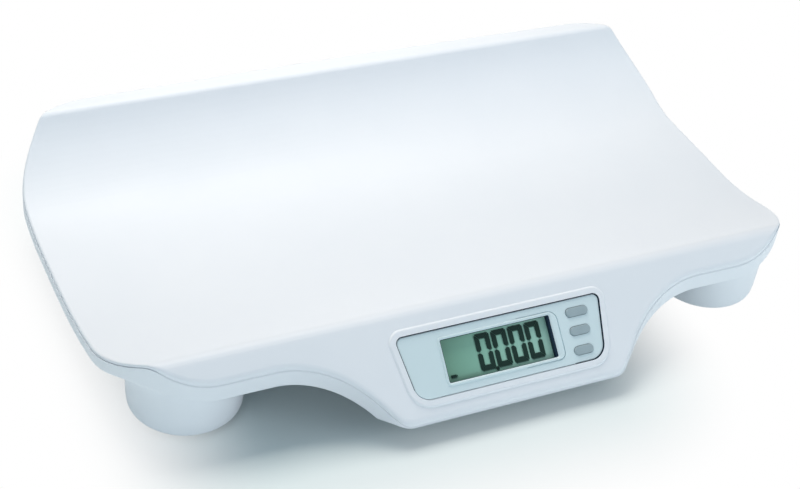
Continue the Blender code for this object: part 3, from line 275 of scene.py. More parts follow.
# %% Spun and stacked solids
def turned(section, steps, centre=(0, 0)):
    """Spins pairs of a radius and a height about an upright line; a height may be a rule in y."""
    bm = bmesh.new()
    rows = []
    for radius, z in section:
        row = []
        for k in range(steps if radius > 0 else 1):
            turn = 2 * math.pi * k / steps
            x, y = centre[0] + radius * math.cos(turn), centre[1] + radius * math.sin(turn)
            row.append(bm.verts.new((x, y, z(y) if callable(z) else z)))
        rows.append(row)
    pairs = list(zip(rows, rows[1:]))
    if section[0][0] > 0 and section[-1][0] > 0:
        pairs.append((rows[-1], rows[0]))
    for lower, upper in pairs:
        for i in range(steps):
            below = [lower[(i - 1) % len(lower)], lower[i % len(lower)]]
            above = [upper[i % len(upper)], upper[(i - 1) % len(upper)]]
            bm.faces.new(list(dict.fromkeys(below + above)))
    return bm


def stack(rows):
    """A solid through matching outlines, each at its own height."""
    bm = bmesh.new()
    rings = [[bm.verts.new((x, y, z)) for x, y in outline] for outline, z in rows]
    bm.faces.new(rings[0][::-1])
    bm.faces.new(rings[-1])
    for lower, upper in zip(rings, rings[1:]):
        for i in range(len(lower)):
            bm.faces.new((lower[i - 1], lower[i], upper[i], upper[i - 1]))
    return bm


def prism(outline, low, high):
    return stack(((outline, low), (outline, high)))


def rod(radius, low, high, centre, steps=24):
    return turned(((0, low), (radius, low), (radius, high), (0, high)), steps, centre)


def box(low, high):
    outline = ((low[0], low[1]), (high[0], low[1]), (high[0], high[1]), (low[0], high[1]))
    return prism(outline, low[2], high[2])


def together(*solids):
    """Several separate solids in one mesh."""
    joined = bmesh.new()
    for bm in solids:
        mesh = bpy.data.meshes.new("part")
        bm.to_mesh(mesh)
        bm.free()
        joined.from_mesh(mesh)
        bpy.data.meshes.remove(mesh)
    return joined


test = rod(1, 0, 1, (0, 0))
print("a rod has", len(test.faces), "faces")
test.free()

# %% [markdown]
# Shapes that are cut or welded go through exact Booleans, and the result is kept as a plain mesh. Edges
# that turn sharply stay sharp, the rest is shaded smooth, and weighted normals keep the big faces flat.
# A bevel on every edge would be the usual way to catch light, but here the edges that show are already
# rounded in their sections, so the mesh stays clean.


# %% Solids and pieces
def mesh_of(bm, name="shape"):
    bmesh.ops.recalc_face_normals(bm, faces=bm.faces)
    mesh = bpy.data.meshes.new(name)
    bm.to_mesh(mesh)
    bm.free()
    return mesh


def shaped(bm, *steps):
    """Applies pairs of an operation and a solid, in order, and gives back a mesh."""
    base = bpy.data.objects.new("shape", mesh_of(bm))
    bpy.context.scene.collection.objects.link(base)
    tools = []
    for operation, solid in steps:
        tool = bpy.data.objects.new("tool", mesh_of(solid))
        bpy.context.scene.collection.objects.link(tool)
        modifier = base.modifiers.new("step", "BOOLEAN")
        modifier.operation, modifier.solver, modifier.object = operation, "EXACT", tool
        tools.append(tool)
    bpy.context.view_layer.update()
    mesh = bpy.data.meshes.new_from_object(base.evaluated_get(bpy.context.evaluated_depsgraph_get()))
    for used in [base, *tools]:
        bpy.data.objects.remove(used)
    return mesh


def piece(name, mesh, material, body, slot, *nodes, angle=32, matrix=None):
    """Makes a piece that rides a body and may stand for some of the rough solids."""
    if matrix is not None:
        mesh.transform(matrix)
    mesh.materials.clear()
    mesh.materials.append(material)
    mesh.shade_smooth()
    mesh.set_sharp_from_angle(angle=math.radians(angle))
    made = bpy.data.objects.new(name, mesh)
    bpy.context.scene.collection.objects.link(made)
    smooth = made.modifiers.new("normals", "WEIGHTED_NORMAL")
    smooth.keep_sharp = True
    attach(made, body)
    if nodes:
        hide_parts(*nodes)
    print(name, len(mesh.polygons), "faces")


# %% [markdown]
# Every finish is grown from noise in the object's own space, so it needs no picture and no unwrapping.
# One slow noise shifts the tint, one changes how glossy the surface is, and a fine one gives the grain
# of the mould. Three scales are enough to stop a plain plastic from looking like flat paint.

# %% Finishes from noise
NOISE_LOW, NOISE_HIGH = 0.3, 0.7
GLOSS_FINER = 7


def node(tree, kind, **values):
    made = tree.nodes.new(kind)
    for key, value in values.items():
        if hasattr(made, key):
            setattr(made, key, value)
        else:
            made.inputs[key.replace("_", " ")].default_value = value
    return made


def join(tree, *links):
    for output, socket in links:
        tree.links.new(output, socket)


def colour(r, g, b):
    """Turns screen colour from 0 to 255 into the linear light that the renderer works with."""
    return [((c / 255 + 0.055) / 1.055) ** 2.4 if c > 10 else c / 3294 for c in (r, g, b)] + [1.0]


def finish(name, tint_a, tint_b, rough, patch=14.0, grain=1800.0, bump=0.00002, metallic=0.0, **shader):
    """A material between two tints; patch and grain are how fine its slow and fast noises are."""
    made = bpy.data.materials.new(name)
    made.use_nodes = True
    tree = made.node_tree
    principled = tree.nodes["Principled BSDF"]
    principled.inputs["Metallic"].default_value = metallic
    for key, value in shader.items():
        principled.inputs[key.replace("_", " ")].default_value = value
    place = node(tree, "ShaderNodeTexCoord").outputs["Object"]
    patches = node(tree, "ShaderNodeTexNoise", Scale=patch, Detail=3.0)
    tints = node(tree, "ShaderNodeMix", data_type="RGBA")
    tints.inputs[6].default_value, tints.inputs[7].default_value = colour(*tint_a), colour(*tint_b)
    gloss = node(tree, "ShaderNodeTexNoise", Scale=patch * GLOSS_FINER, Detail=4.0)
    spread = node(tree, "ShaderNodeMapRange", From_Min=NOISE_LOW, From_Max=NOISE_HIGH)
    spread.inputs["To Min"].default_value, spread.inputs["To Max"].default_value = rough
    fine = node(tree, "ShaderNodeTexNoise", Scale=grain, Detail=2.0)
    relief = node(tree, "ShaderNodeBump", Strength=1.0, Distance=bump)
    join(
        tree,
        (place, patches.inputs["Vector"]), (place, gloss.inputs["Vector"]), (place, fine.inputs["Vector"]),
        (patches.outputs["Fac"], tints.inputs[0]),
        (tints.outputs[2], principled.inputs["Base Color"]),
        (gloss.outputs["Fac"], spread.inputs["Value"]),
        (spread.outputs["Result"], principled.inputs["Roughness"]),
        (fine.outputs["Fac"], relief.inputs["Height"]),
        (relief.outputs["Normal"], principled.inputs["Normal"]),
    )
    return made


print("white is", [round(c, 2) for c in colour(255, 255, 255)], "in linear light")

# %% [markdown]
# The scale is one family of cool whites with a few darker parts. Each finish below is two close tints and
# a range of roughness. Tints picked from one spot of the photograph would hold its light as well, so they
# were set by comparing renders with it. The white plastic gets a weaker gloss than the rest: its mould is
# lightly etched, and a full gloss would wash out the soft shading of the trough.

# %% Finishes of the scale
WHITE = finish("white_plastic", (236, 240, 245), (241, 244, 248), (0.46, 0.54), Specular_IOR_Level=0.3)
PAINT = finish("panel_paint", (212, 230, 234), (217, 234, 239), (0.30, 0.40), grain=5200.0)
KEY = finish("key_rubber", (150, 168, 175), (160, 177, 183), (0.42, 0.55), patch=120.0, grain=3500.0)
DARK = finish("dark_plastic", (34, 40, 44), (46, 52, 56), (0.40, 0.55), patch=60.0)
GREY = finish("grey_plastic", (150, 154, 158), (164, 168, 170), (0.40, 0.52), patch=50.0)
RUBBER = finish("soft_rubber", (52, 54, 56), (66, 68, 70), (0.65, 0.85), patch=70.0, bump=0.00006)
STEEL = finish("zinc_steel", (168, 172, 176), (196, 198, 200), (0.22, 0.42), patch=160.0, metallic=1.0)
SLEEVE = finish("cell_sleeve", (60, 70, 92), (74, 84, 106), (0.25, 0.35), patch=60.0, metallic=0.3)
BOARD = finish("board_green", (24, 84, 54), (34, 100, 64), (0.25, 0.4), patch=200.0)
BLACK_WIRE = finish("black_wire", (28, 28, 30), (40, 40, 42), (0.40, 0.50), patch=200.0)
RED_WIRE = finish("red_wire", (150, 34, 30), (170, 44, 38), (0.40, 0.50), patch=200.0)
print("finishes made:", len(bpy.data.materials))

# %% [markdown]
# The control panel lies on the sloping front. Its parts are drawn flat, with x along the panel, y up the
# slope and z out of it, and are then tipped into place by one matrix. Each could be modelled in its
# tilted place instead, but a flat drawing keeps the sizes readable.

# %% Frame of the sloping front
PANEL_DOWN, PANEL_HIGH = 0.0328, 0.0456
PANEL_FOOT_HALF, PANEL_TOP_HALF = 0.0736, 0.0805
PANEL_FOOT_ROUND, PANEL_TOP_ROUND = 0.012, 0.0045
PROUD, PANEL_THICK = 0.00035, 0.0018
THROUGH = 0.01
panel_back = PROUD - PANEL_THICK
foot_z = LIFT + LAND
panel_up = (RIDGE - foot_z) / math.sin(FASCIA) - RIDGE_ARC - PANEL_DOWN
panel_y, panel_z = -DEPTH / 2 + panel_up * math.cos(FASCIA), foot_z + panel_up * math.sin(FASCIA)
SLOPE = Matrix.Translation((0, panel_y, panel_z)) @ Matrix.Rotation(FASCIA, 4, "X")


def panel_line(grow=0.0):
    """Outline of the panel, which is wider and less rounded at its top."""
    foot, top, half = PANEL_FOOT_HALF, PANEL_TOP_HALF, PANEL_HIGH / 2
    corners = ((-foot, -half), (foot, -half), (top, half), (-top, half))
    radii = (PANEL_FOOT_ROUND, PANEL_FOOT_ROUND, PANEL_TOP_ROUND, PANEL_TOP_ROUND)
    return grown(rounded(corners, radii, 14), grow)


def on_slope(bm):
    bmesh.ops.transform(bm, matrix=SLOPE, verts=bm.verts)
    return bm


print("middle of the panel in mm", [round(1000 * c, 1) for c in SLOPE.translation])

# %% [markdown]
# The tray is the upper skin. Its edge is rounded over 2 mm, and it ends 0.6 mm inside the lower body, so
# a thin dark parting line runs all round, as it does where two mouldings meet. Two ribs stiffen the bed
# from below and four bosses receive the case screws. They could be pulled out of the skin's own mesh,
# but plain boxes and rods that end inside the skin are easier to move when a size changes.

# %% Ribs and bosses of the tray
flat_bed = [y for y, z in trough_line(0.0) if abs(z - BED) < 0.000001]
bed_front, bed_back = flat_bed[0], flat_bed[-1]


def along_bed(share):
    return bed_front + (bed_back - bed_front) * share


SCREW_OUT, SCREW_SHARES, RIB_SHARES = 0.165, (0.13, 0.87), (0.36, 0.64)
RIB_HALF, RIB_THICK, RIB_DEEP = 0.1, 0.0016, 0.0038
BOSS_RADIUS, BOSS_LOW, BOSS_HIGH = 0.0036, 0.0323, 0.03875
SCREWS = [(side * SCREW_OUT, along_bed(share)) for share in SCREW_SHARES for side in (-1, 1)]
ribs = []
for share in RIB_SHARES:
    y = along_bed(share)
    rib_low = (-RIB_HALF, y - RIB_THICK / 2, BED - WALL - RIB_DEEP)
    ribs.append(box(rib_low, (RIB_HALF, y + RIB_THICK / 2, BED - WALL / 2)))
bosses = [rod(BOSS_RADIUS, BOSS_LOW, BOSS_HIGH, centre) for centre in SCREWS]
print("flat of the bed in mm", round(1000 * bed_front, 1), "to", round(1000 * bed_back, 1))

# %% [markdown]
# A raised ring frames the control panel, and a pocket inside it takes the panel in, with a ledge for it
# to rest on. The ring could be a bevelled extrusion, but it rises in small steps of a sine instead, so
# light runs over it without an edge.

# %% Tray
TRAY_INSET, TRAY_ROUND = 0.0006, 0.002
RING_FOOT, RING_SLOPE, RING_INNER, RING_TALL, RING_STEPS = 0.0056, 0.0016, 0.0012, 0.0012, 8
SEAT, SEAT_HIGH, SEAT_MOUTH = 0.00045, 0.00075, 0.00135
BACKING, BACKING_TOP, LEDGE, SUNK = 0.003, -0.0005, 0.0022, 0.001
ring_rows = [(panel_line(RING_FOOT), -SUNK)]
for k in range(RING_STEPS + 1):
    share = k / RING_STEPS
    rise = RING_TALL * math.sin(share * math.pi / 2)
    ring_rows.append((panel_line(RING_FOOT - RING_SLOPE * share), rise))
ring_rows.append((panel_line(RING_INNER), RING_TALL))
pocket_rows = (
    (panel_line(SEAT), panel_back), (panel_line(SEAT), SEAT_HIGH), (panel_line(SEAT_MOUTH), THROUGH),
)
tray = shaped(
    plate(plan(-TRAY_INSET), height_at(0.0), height_at(WALL), top_radius=TRAY_ROUND),
    ("UNION", on_slope(stack(ring_rows))),
    ("UNION", on_slope(prism(panel_line(BACKING), panel_back - BACKING, BACKING_TOP))),
    ("DIFFERENCE", on_slope(stack(pocket_rows))),
    ("DIFFERENCE", on_slope(prism(panel_line(-LEDGE), -THROUGH, THROUGH))),
    ("UNION", together(*ribs, *bosses)),
)
piece("tray_skin", tray, WHITE, "scale_body", "white_abs", "tray_shell", angle=28)

# %% [markdown]
# The lower body carries small round features. Each drum hangs on two pegs, whose tips are melted into
# rivet heads, and each case screw has a round well to pass through. They are spun from their sections
# first and joined to the body in one weld further down, which is quicker and safer than many small ones.

# %% Pegs and screw wells
FEET = {
    "front_left": (-0.213, -0.0804), "front_right": (0.213, -0.0804),
    "back_left": (-0.213, 0.098), "back_right": (0.213, 0.098),
}
UNDERSIDE = BED - BODY
CEILING = 0.1
PEG_OUT, PEG_RADIUS = 0.0334, 0.0035
PEG_TIP = [
    (0, 0.0012), (0.0016, 0.0013), (0.0025, 0.0023), (0.0013, 0.0023), (0.0013, 0.0054), (PEG_RADIUS, 0.0054),
]
WELL_RADIUS, WELL_DEEP, HEAD_RADIUS, SHANK_RADIUS = 0.0045, 0.003, 0.0034, 0.0018
inside = height_at(BODY - WALL)
pegs = []
for x, y in FEET.values():
    root = inside(y) - WALL / 2
    for side in (-1, 1):
        section = [*PEG_TIP, (PEG_RADIUS, root), (0, root)]
        pegs.append(turned(section, 20, (x + side * PEG_OUT, y)))
well_floor = UNDERSIDE + WELL_DEEP
bore = [
    (0, 0), (HEAD_RADIUS, 0), (HEAD_RADIUS, well_floor),
    (SHANK_RADIUS, well_floor), (SHANK_RADIUS, CEILING), (0, CEILING),
]
wells = [rod(WELL_RADIUS, UNDERSIDE + WALL / 2, UNDERSIDE + WALL + WELL_DEEP, centre) for centre in SCREWS]
bores = [turned(bore, 24, centre) for centre in SCREWS]
bores += [rod(WELL_RADIUS, 0, CEILING, centre) for centre in FEET.values()]
print("pegs:", len(pegs), "wells:", len(wells), "bores:", len(bores))

# %% [markdown]
# Below the display the body fills out into a pod. At its back lie two chambers with two cells each, and a
# door slides over them from behind. Its tongue runs in a groove that is a little wider than the opening,
# so it can't drop out. Chambers, slots and opening are plain boxes, as they are in the real mould.

# %% Battery bay
POD_HALF, POD_SET_IN, POD_DEEP = 0.082, 0.0065, 0.079
BAY_HALF, BAY_FAR, BAY_NEAR, BAY_FLOOR, BAY_ROOF = 0.0579, 0.0353, 0.0045, 0.0023, 0.0173
BAY_WALL, BAY_BACK_WALL, BAY_SPLIT = 0.002, 0.0033, 0.001
DOOR_ROOM, GROOVE, TONGUE = 0.004, 0.0018, 0.0009
LUG_HALF, LUG_FAR, LUG_NEAR, LUG_DOWN, LUG_UP = 0.00055, 0.0097, 0.0061, 0.002, 0.004
pod_front, pod_back = -DEPTH / 2 + POD_SET_IN, POD_DEEP - DEPTH / 2
bay_front, bay_back = pod_back - BAY_FAR, pod_back - BAY_NEAR
bay_low, bay_high = LIFT + BAY_FLOOR, LIFT + BAY_ROOF
half_door, lip, past = BAY_HALF + DOOR_ROOM, bay_front - DOOR_ROOM, pod_back + THROUGH
tongue_low = bay_low - 3 * GAP - TONGUE
bay_block = box(
    (-BAY_HALF - BAY_WALL, bay_front - BAY_WALL, bay_low),
    (BAY_HALF + BAY_WALL, bay_back + BAY_BACK_WALL, bay_high + BAY_WALL),
)
chambers = together(
    box((-BAY_HALF, bay_front, 0), (-BAY_SPLIT, bay_back, bay_high)),
    box((BAY_SPLIT, bay_front, 0), (BAY_HALF, bay_back, bay_high)),
)
lug_low, lug_high = (bay_back - LUG_FAR, bay_high - LUG_DOWN), (bay_back - LUG_NEAR, bay_high + LUG_UP)
lug_slots = together(*(
    box((x - LUG_HALF, *lug_low), (x + LUG_HALF, *lug_high))
    for x in (-BAY_HALF + LUG_HALF, BAY_HALF - LUG_HALF)
))
opening = box((-half_door, lip, 0), (half_door, past, bay_low))
groove = box((-half_door - GROOVE, lip - GROOVE, tongue_low), (half_door + GROOVE, past, bay_low))
door_low, door_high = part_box("battery_door")
print("door in mm", [round(1000 * c, 1) for c in (*door_low, *door_high)])

# %% [markdown]
# The lower body follows the same section 13.6 mm below the top surface, so it looks like a thick rolled
# edge from the side, and it never comes lower than the pod. A block with the trough cut out of it would
# look the same from above, but this one is hollowed out as the real moulding is, because the open bay
# and the wells let one look inside from below.

# %% Lower body
BODY_ROUND, POD_ROUND, POD_CORNER = 0.0036, 0.0018, 0.008
POD_FLOOR, POD_TOP = LIFT + 0.0046, 0.005
OVERHEAD = 0.11


def clip_at(depth, level):
    """Where the sloping line at this depth meets a level."""
    return ((depth / math.cos(FASCIA)) + level - LIFT - LAND) / math.tan(FASCIA) - DEPTH / 2


def never_under(rule, level):
    return lambda y: max(rule(y), level)


outer = plate(
    plan(), height_at(WALL + GAP), never_under(height_at(BODY), LIFT),
    bottom_radius=BODY_ROUND, extra=(clip_at(BODY, LIFT),),
)
pod_line = rectangle(-POD_HALF, pod_front, POD_HALF, pod_back, POD_CORNER, 10)
pod = plate(pod_line, height_at(POD_TOP), lambda y: LIFT, bottom_radius=POD_ROUND)
lowest = POD_FLOOR + WALL
cavity = plate(
    plan(-WALL), lambda y: OVERHEAD, never_under(height_at(BODY - WALL), lowest),
    extra=(clip_at(BODY - WALL, lowest),),
)
pod_inside = rectangle(
    -POD_HALF + WALL, pod_front + WALL, POD_HALF - WALL, pod_back - WALL, POD_CORNER - WALL, 8,
)
base = shaped(
    outer,
    ("UNION", pod),
    ("DIFFERENCE", cavity),
    ("DIFFERENCE", prism(pod_inside, POD_FLOOR, OVERHEAD)),
    ("UNION", bay_block),
    ("DIFFERENCE", chambers),
    ("DIFFERENCE", lug_slots),
    ("DIFFERENCE", opening),
    ("DIFFERENCE", groove),
    ("UNION", together(*pegs, *wells)),
    ("DIFFERENCE", together(*bores)),
)
piece("lower_body", base, WHITE, "scale_body", "white_abs", "base_shell", angle=28)

# %% [markdown]
# Four drums carry the body. Their walls lean out by a degree and a half, as moulded walls do, and their
# tops are trimmed to the underside of the body simply by asking the section rule for the height there.
# In each drum hangs a loose disc, which presses on the load cell, with a soft pad under it.

# %% Feet
DRUM, DRUM_EDGE, DRUM_LOW, DRUM_INSIDE = 0.040, 0.005, 0.0026, 0.0051
DRUM_MIDDLE = 0.5 * LIFT + 0.006
DRAFT = math.tan(math.radians(1.5))
POCKET, POCKET_SKIN, POCKET_EDGE = 0.0275, 0.0018, 0.0006
ROOF_LOW, ROOF_HIGH, ROOF_HOLE = 0.0118, 0.0143, 0.011
DISC, DISC_EDGE, DISC_BEVEL = POCKET - 0.001, 0.001, 0.0004
DISC_LOW, DISC_SHOULDER, DISC_HIGH = 0.0024, 0.0075, 0.0079
NECK, NECK_HIGH = 0.0045, 0.0095
SOCKET, SOCKET_MOUTH, SOCKET_TOP = 0.0015, 0.003, 0.0044
PAD, PAD_EDGE, PAD_HIGH, PAD_HOLLOW, HOLLOW_HIGH = 0.021, 0.0006, 0.0021, 0.016, 0.0003
under = height_at(BODY + GAP)
for name, (x, y) in FEET.items():
    tall = under(y)
    outer_top = DRUM + DRAFT * tall
    section = [(POCKET, DRUM_LOW + POCKET_EDGE), (POCKET + POCKET_EDGE, DRUM_LOW)]
    section += arc((DRUM - DRUM_EDGE, DRUM_LOW + DRUM_EDGE), DRUM_EDGE, -math.pi / 2, 0, 8)
    section += [(DRUM + DRAFT * 0.5 * tall, DRUM_MIDDLE), (outer_top, under)]
    section += [(outer_top - WALL, under), (DRUM - WALL, DRUM_INSIDE)]
    section += [(POCKET + POCKET_SKIN, DRUM_INSIDE), (POCKET + POCKET_SKIN, ROOF_HIGH)]
    section += [(ROOF_HOLE, ROOF_HIGH), (ROOF_HOLE, ROOF_LOW), (POCKET, ROOF_LOW)]
    drum = mesh_of(turned(section, 96, (x, y)))
    piece("drum_" + name, drum, WHITE, "scale_body", "white_abs", "foot_housing_" + name, angle=28)
    section = [(SOCKET_MOUTH, DISC_LOW), (DISC - DISC_EDGE, DISC_LOW)]
    section += arc((DISC - DISC_EDGE, DISC_LOW + DISC_EDGE), DISC_EDGE, -math.pi / 2, 0, 4)[1:]
    section += [(DISC, DISC_SHOULDER), (DISC - DISC_BEVEL, DISC_HIGH), (NECK, DISC_HIGH), (NECK, NECK_HIGH)]
    section += [(SOCKET, NECK_HIGH), (SOCKET, SOCKET_TOP), (SOCKET_MOUTH, SOCKET_TOP)]
    disc = mesh_of(turned(section, 64, (x, y)))
    piece("disc_" + name, disc, GREY, "scale_body", "grey_plastic", "foot_disc_" + name)
    section = [(0, HOLLOW_HIGH), (PAD_HOLLOW, HOLLOW_HIGH)]
    section += [(PAD_HOLLOW + PAD_EDGE, 0.0), (PAD - PAD_EDGE, 0.0)]
    section += arc((PAD - PAD_EDGE, PAD_EDGE), PAD_EDGE, -math.pi / 2, 0, 4)[1:]
    section += [(PAD, PAD_HIGH), (0, PAD_HIGH)]
    pad = mesh_of(turned(section, 64, (x, y)))
    piece("pad_" + name, pad, RUBBER, "scale_body", "dark_rubber", "foot_pad_" + name)

# %% [markdown]
# The control panel is a thin painted plate with a window for the display and three holes for the keys.
# Each outline can grow or shrink, because a hole, its rim, its bevel and what sits in it are the same line
# at different distances. The window's rim is wider and rounder on the right.

# %% Outlines of the window and the keys
WINDOW_LEFT, WINDOW_RIGHT, WINDOW_HALF, WINDOW_ROUND = -0.048, 0.038, 0.0152, 0.0012
KEY_SIDE, NEARLY = 0.0511, 0.999
KEYS = {
    "top": (KEY_SIDE + 0.0092, PANEL_HIGH / 2 - 0.0096, 0.0186, 0.0073),
    "middle": (KEY_SIDE + 0.0083, PANEL_HIGH / 2 - 0.0231, 0.0170, 0.0073),
    "bottom": (KEY_SIDE + 0.0075, PANEL_HIGH / 2 - 0.0372, 0.0160, 0.0071),
}


def window_line(grow=0.0, right=0.0):
    left, end, high = WINDOW_LEFT - grow, WINDOW_RIGHT + grow + right, WINDOW_HALF + grow
    near = WINDOW_ROUND + max(grow, 0)
    radii = (near, near + right / 2, near + right, near)
    return rounded(((left, -high), (end, -high), (end, high), (left, high)), radii, 8)


def key_line(name, grow=0.0):
    """A pill from a key's place, width and height; its ends are just short of half circles."""
    x, y, width, height = KEYS[name]
    across, tall = width / 2 + grow, height / 2 + grow
    return rectangle(x - across, y - tall, x + across, y + tall, tall * NEARLY, 14)


for name, (x, y, width, height) in KEYS.items():
    print("key", name, "is", round(1000 * width, 1), "by", round(1000 * height, 1), "mm")

# %% [markdown]
# The plate's edge and the window's rim both turn over in a few steps of a quarter circle. A fine groove
# runs round the right end of the window. Engraving it with a bump map would be simpler, but a groove that
# is really cut keeps its shadow from every side.

# %% Control panel
PLATE_INSET, PLATE_EDGE = -0.0002, 0.0004
RIM_OUT, RIM_RIGHT, RIM_FALL, RIM_TALL = 0.0022, 0.0032, 0.0012, 0.0008
DITCH_LEFT, DITCH_RIGHT, DITCH_HALF, DITCH_DEEP = 0.012, 0.044, 0.0178, 0.0010
DITCH_ROUNDS = (0.0001, 0.0055, 0.0072, 0.0001)
BEVEL_FOOT, BEVEL = 0.0002, 0.0012
KEY_SNUG = -0.0001
face = [(panel_line(PLATE_INSET), panel_back), (panel_line(PLATE_INSET), PROUD - PLATE_EDGE)]
for turn in (0.5, 1.0, 1.57):
    line = panel_line(PLATE_INSET - PLATE_EDGE * (1 - math.cos(turn)))
    face.append((line, PROUD - PLATE_EDGE * (1 - math.sin(turn))))
rim = [(window_line(RIM_OUT, RIM_RIGHT), PROUD - SUNK), (window_line(RIM_OUT, RIM_RIGHT), PROUD)]
for turn in (0.4, 0.8, 1.2, 1.57):
    line = window_line(RIM_OUT - RIM_FALL * (1 - math.cos(turn)), RIM_RIGHT)
    rim.append((line, PROUD + RIM_TALL * math.sin(turn)))
corners = (
    (DITCH_LEFT, -DITCH_HALF), (DITCH_RIGHT, -DITCH_HALF),
    (DITCH_RIGHT, DITCH_HALF), (DITCH_LEFT, DITCH_HALF),
)
ditch = grown(rounded(corners, DITCH_ROUNDS, 8), 0.0001)
window_cut = ((window_line(), -THROUGH), (window_line(), BEVEL_FOOT), (window_line(BEVEL), BEVEL))
panel = shaped(
    stack(face),
    ("DIFFERENCE", prism(ditch, PROUD - DITCH_DEEP, THROUGH)),
    ("UNION", stack(rim)),
    ("DIFFERENCE", stack(window_cut)),
    ("DIFFERENCE", together(*(prism(key_line(name, KEY_SNUG), -THROUGH, THROUGH) for name in KEYS))),
)
piece("panel_face", panel, PAINT, "scale_body", "panel_paint", "control_panel", matrix=SLOPE, angle=30)

# %% [markdown]
# A dark ring stands in the groove round the panel as a painted shadow of the groove, except along most of
# its foot, and a dark sheet stands inside the window as a painted shadow, broad only on the right. Black
# paint on the neighbours could give the same lines, but a separate ring stays crisp and takes light like
# rubber.

# %% Painted shadow in the groove and the window
# Painted shade: a dark finish for the ring in the panel's groove and the sheet inside the window.
PAINTED_SHADE_FINISH = finish("gasket", (16, 36, 54), (26, 46, 64), (0.5, 0.6), patch=80.0, Specular_IOR_Level=0.12)
WINDOW_SHADE_FOOT, WINDOW_SHADE_TOP = -0.00335, 0.0001
WINDOW_SHADE_OUT, WINDOW_SHADE_IN, WINDOW_SHADE_RIGHT = -0.00002, -0.0003, -0.0014
SHADE_RING_OUT, SHADE_RING_LIP, SHADE_RING_TOP, SHADE_RING_IN = 0.00043, 0.0008, 0.0005, 0.0001
LIP_HIGH, SHADE_RING_HIGH = 0.00115, 0.0012
BARE_LOW, BARE_HIGH = (-0.1, -0.03, -THROUGH), (0.05, -0.0145, THROUGH)
shade_ring_rows = (
    (panel_line(SHADE_RING_OUT), panel_back), (panel_line(SHADE_RING_OUT), SEAT_HIGH),
    (panel_line(SHADE_RING_LIP), LIP_HIGH), (panel_line(SHADE_RING_TOP), SHADE_RING_HIGH),
)
# Painted shadow: a dark ring in the groove round the panel, cut away along most of its foot.
gasket = shaped(
    stack(shade_ring_rows),
    ("DIFFERENCE", prism(panel_line(SHADE_RING_IN), -THROUGH, THROUGH)),
    ("DIFFERENCE", box(BARE_LOW, BARE_HIGH)),
)
piece("panel_groove_shade", gasket, PAINTED_SHADE_FINISH, "scale_body", "dark_plastic", matrix=SLOPE)
# Painted shadow: a dark sheet inside the window, broad on the right.
window_shade = shaped(
    prism(window_line(WINDOW_SHADE_OUT), WINDOW_SHADE_FOOT, WINDOW_SHADE_TOP),
    ("DIFFERENCE", prism(window_line(WINDOW_SHADE_IN, WINDOW_SHADE_RIGHT), -THROUGH, THROUGH)),
)
piece("window_painted_shade", window_shade, PAINTED_SHADE_FINISH, "scale_body", "dark_plastic", matrix=SLOPE)

# %% [markdown]
# The reflector behind the liquid crystal is a grey green. A colour ramp along the panel paints light and
# shade on it, darker on the left and lighter to the right, multiplied by a little of the noise tint, so it
# isn't a clean computer gradient. A glowing screen would be another way, but a display of this kind only
# reflects.

# %% Reflector of the display
REFLECTOR = finish(
    "reflector", (112, 158, 140), (120, 164, 146), (0.30, 0.36), patch=30.0, grain=9000.0, bump=0.00001,
)
GLASS_BEHIND, GLASS_MARGIN, GLASS_ROUND, GLASS_EDGE = 0.0016, 0.003, 0.0012, 0.0002
GLASS_FRONT = panel_back - GLASS_BEHIND - GAP
GLASS_MIDDLE, GLASS_HALF, GLASS_HIGH = -0.005, 0.043 + GLASS_MARGIN, WINDOW_HALF + GLASS_MARGIN
SHEET_BACK, SHEET_EDGE, SHEET_FRONT = 0.0022, 0.0008, 0.0006
HALFWAY, NOISE_SHARE = 0.42, 0.12
# Painted light and shade: a ramp along x makes the reflector darker on the left, lighter on the right.
tree = REFLECTOR.node_tree
place = node(tree, "ShaderNodeTexCoord").outputs["Object"]
split = node(tree, "ShaderNodeSeparateXYZ")
painted_light_across = node(tree, "ShaderNodeMapRange", From_Min=WINDOW_LEFT, From_Max=WINDOW_RIGHT)
painted_light_ramp = node(tree, "ShaderNodeValToRGB")
painted_light_ramp.color_ramp.elements[0].color = colour(112, 160, 139)
painted_light_ramp.color_ramp.elements[1].color = colour(168, 212, 198)
halfway = painted_light_ramp.color_ramp.elements.new(HALFWAY)
halfway.color = colour(146, 198, 178)
blend = node(tree, "ShaderNodeMix", data_type="RGBA", blend_type="MULTIPLY")
blend.inputs[0].default_value = NOISE_SHARE
join(
    tree,
    (place, split.inputs[0]),
    (split.outputs[0], painted_light_across.inputs["Value"]),
    (painted_light_across.outputs["Result"], painted_light_ramp.inputs["Fac"]),
    (painted_light_ramp.outputs["Color"], blend.inputs[6]),
    (tree.nodes["Mix"].outputs[2], blend.inputs[7]),
    (blend.outputs[2], tree.nodes["Principled BSDF"].inputs["Base Color"]),
)
glass_line = rectangle(
    GLASS_MIDDLE - GLASS_HALF, -GLASS_HIGH, GLASS_MIDDLE + GLASS_HALF, GLASS_HIGH, GLASS_ROUND,
)
sheet = stack((
    (glass_line, GLASS_FRONT - SHEET_BACK), (glass_line, GLASS_FRONT - SHEET_EDGE),
    (grown(glass_line, -GLASS_EDGE), GLASS_FRONT - SHEET_FRONT),
))
piece("display_reflector", mesh_of(sheet), REFLECTOR, "scale_body", "lcd_green", "lcd_glass", matrix=SLOPE)

# %% [markdown]
# A digit of this kind has seven bars, and a zero lights six of them, all but the middle one. Two outlines
# are enough: a flat bar with mitred ends and an upright one with a blunt point halfway up, each mirrored
# into place. A font would be quicker, but its strokes wouldn't have the slits between the bars.

# %% Bars of a digit
SLIT, CUT = 0.00022, 0.0011


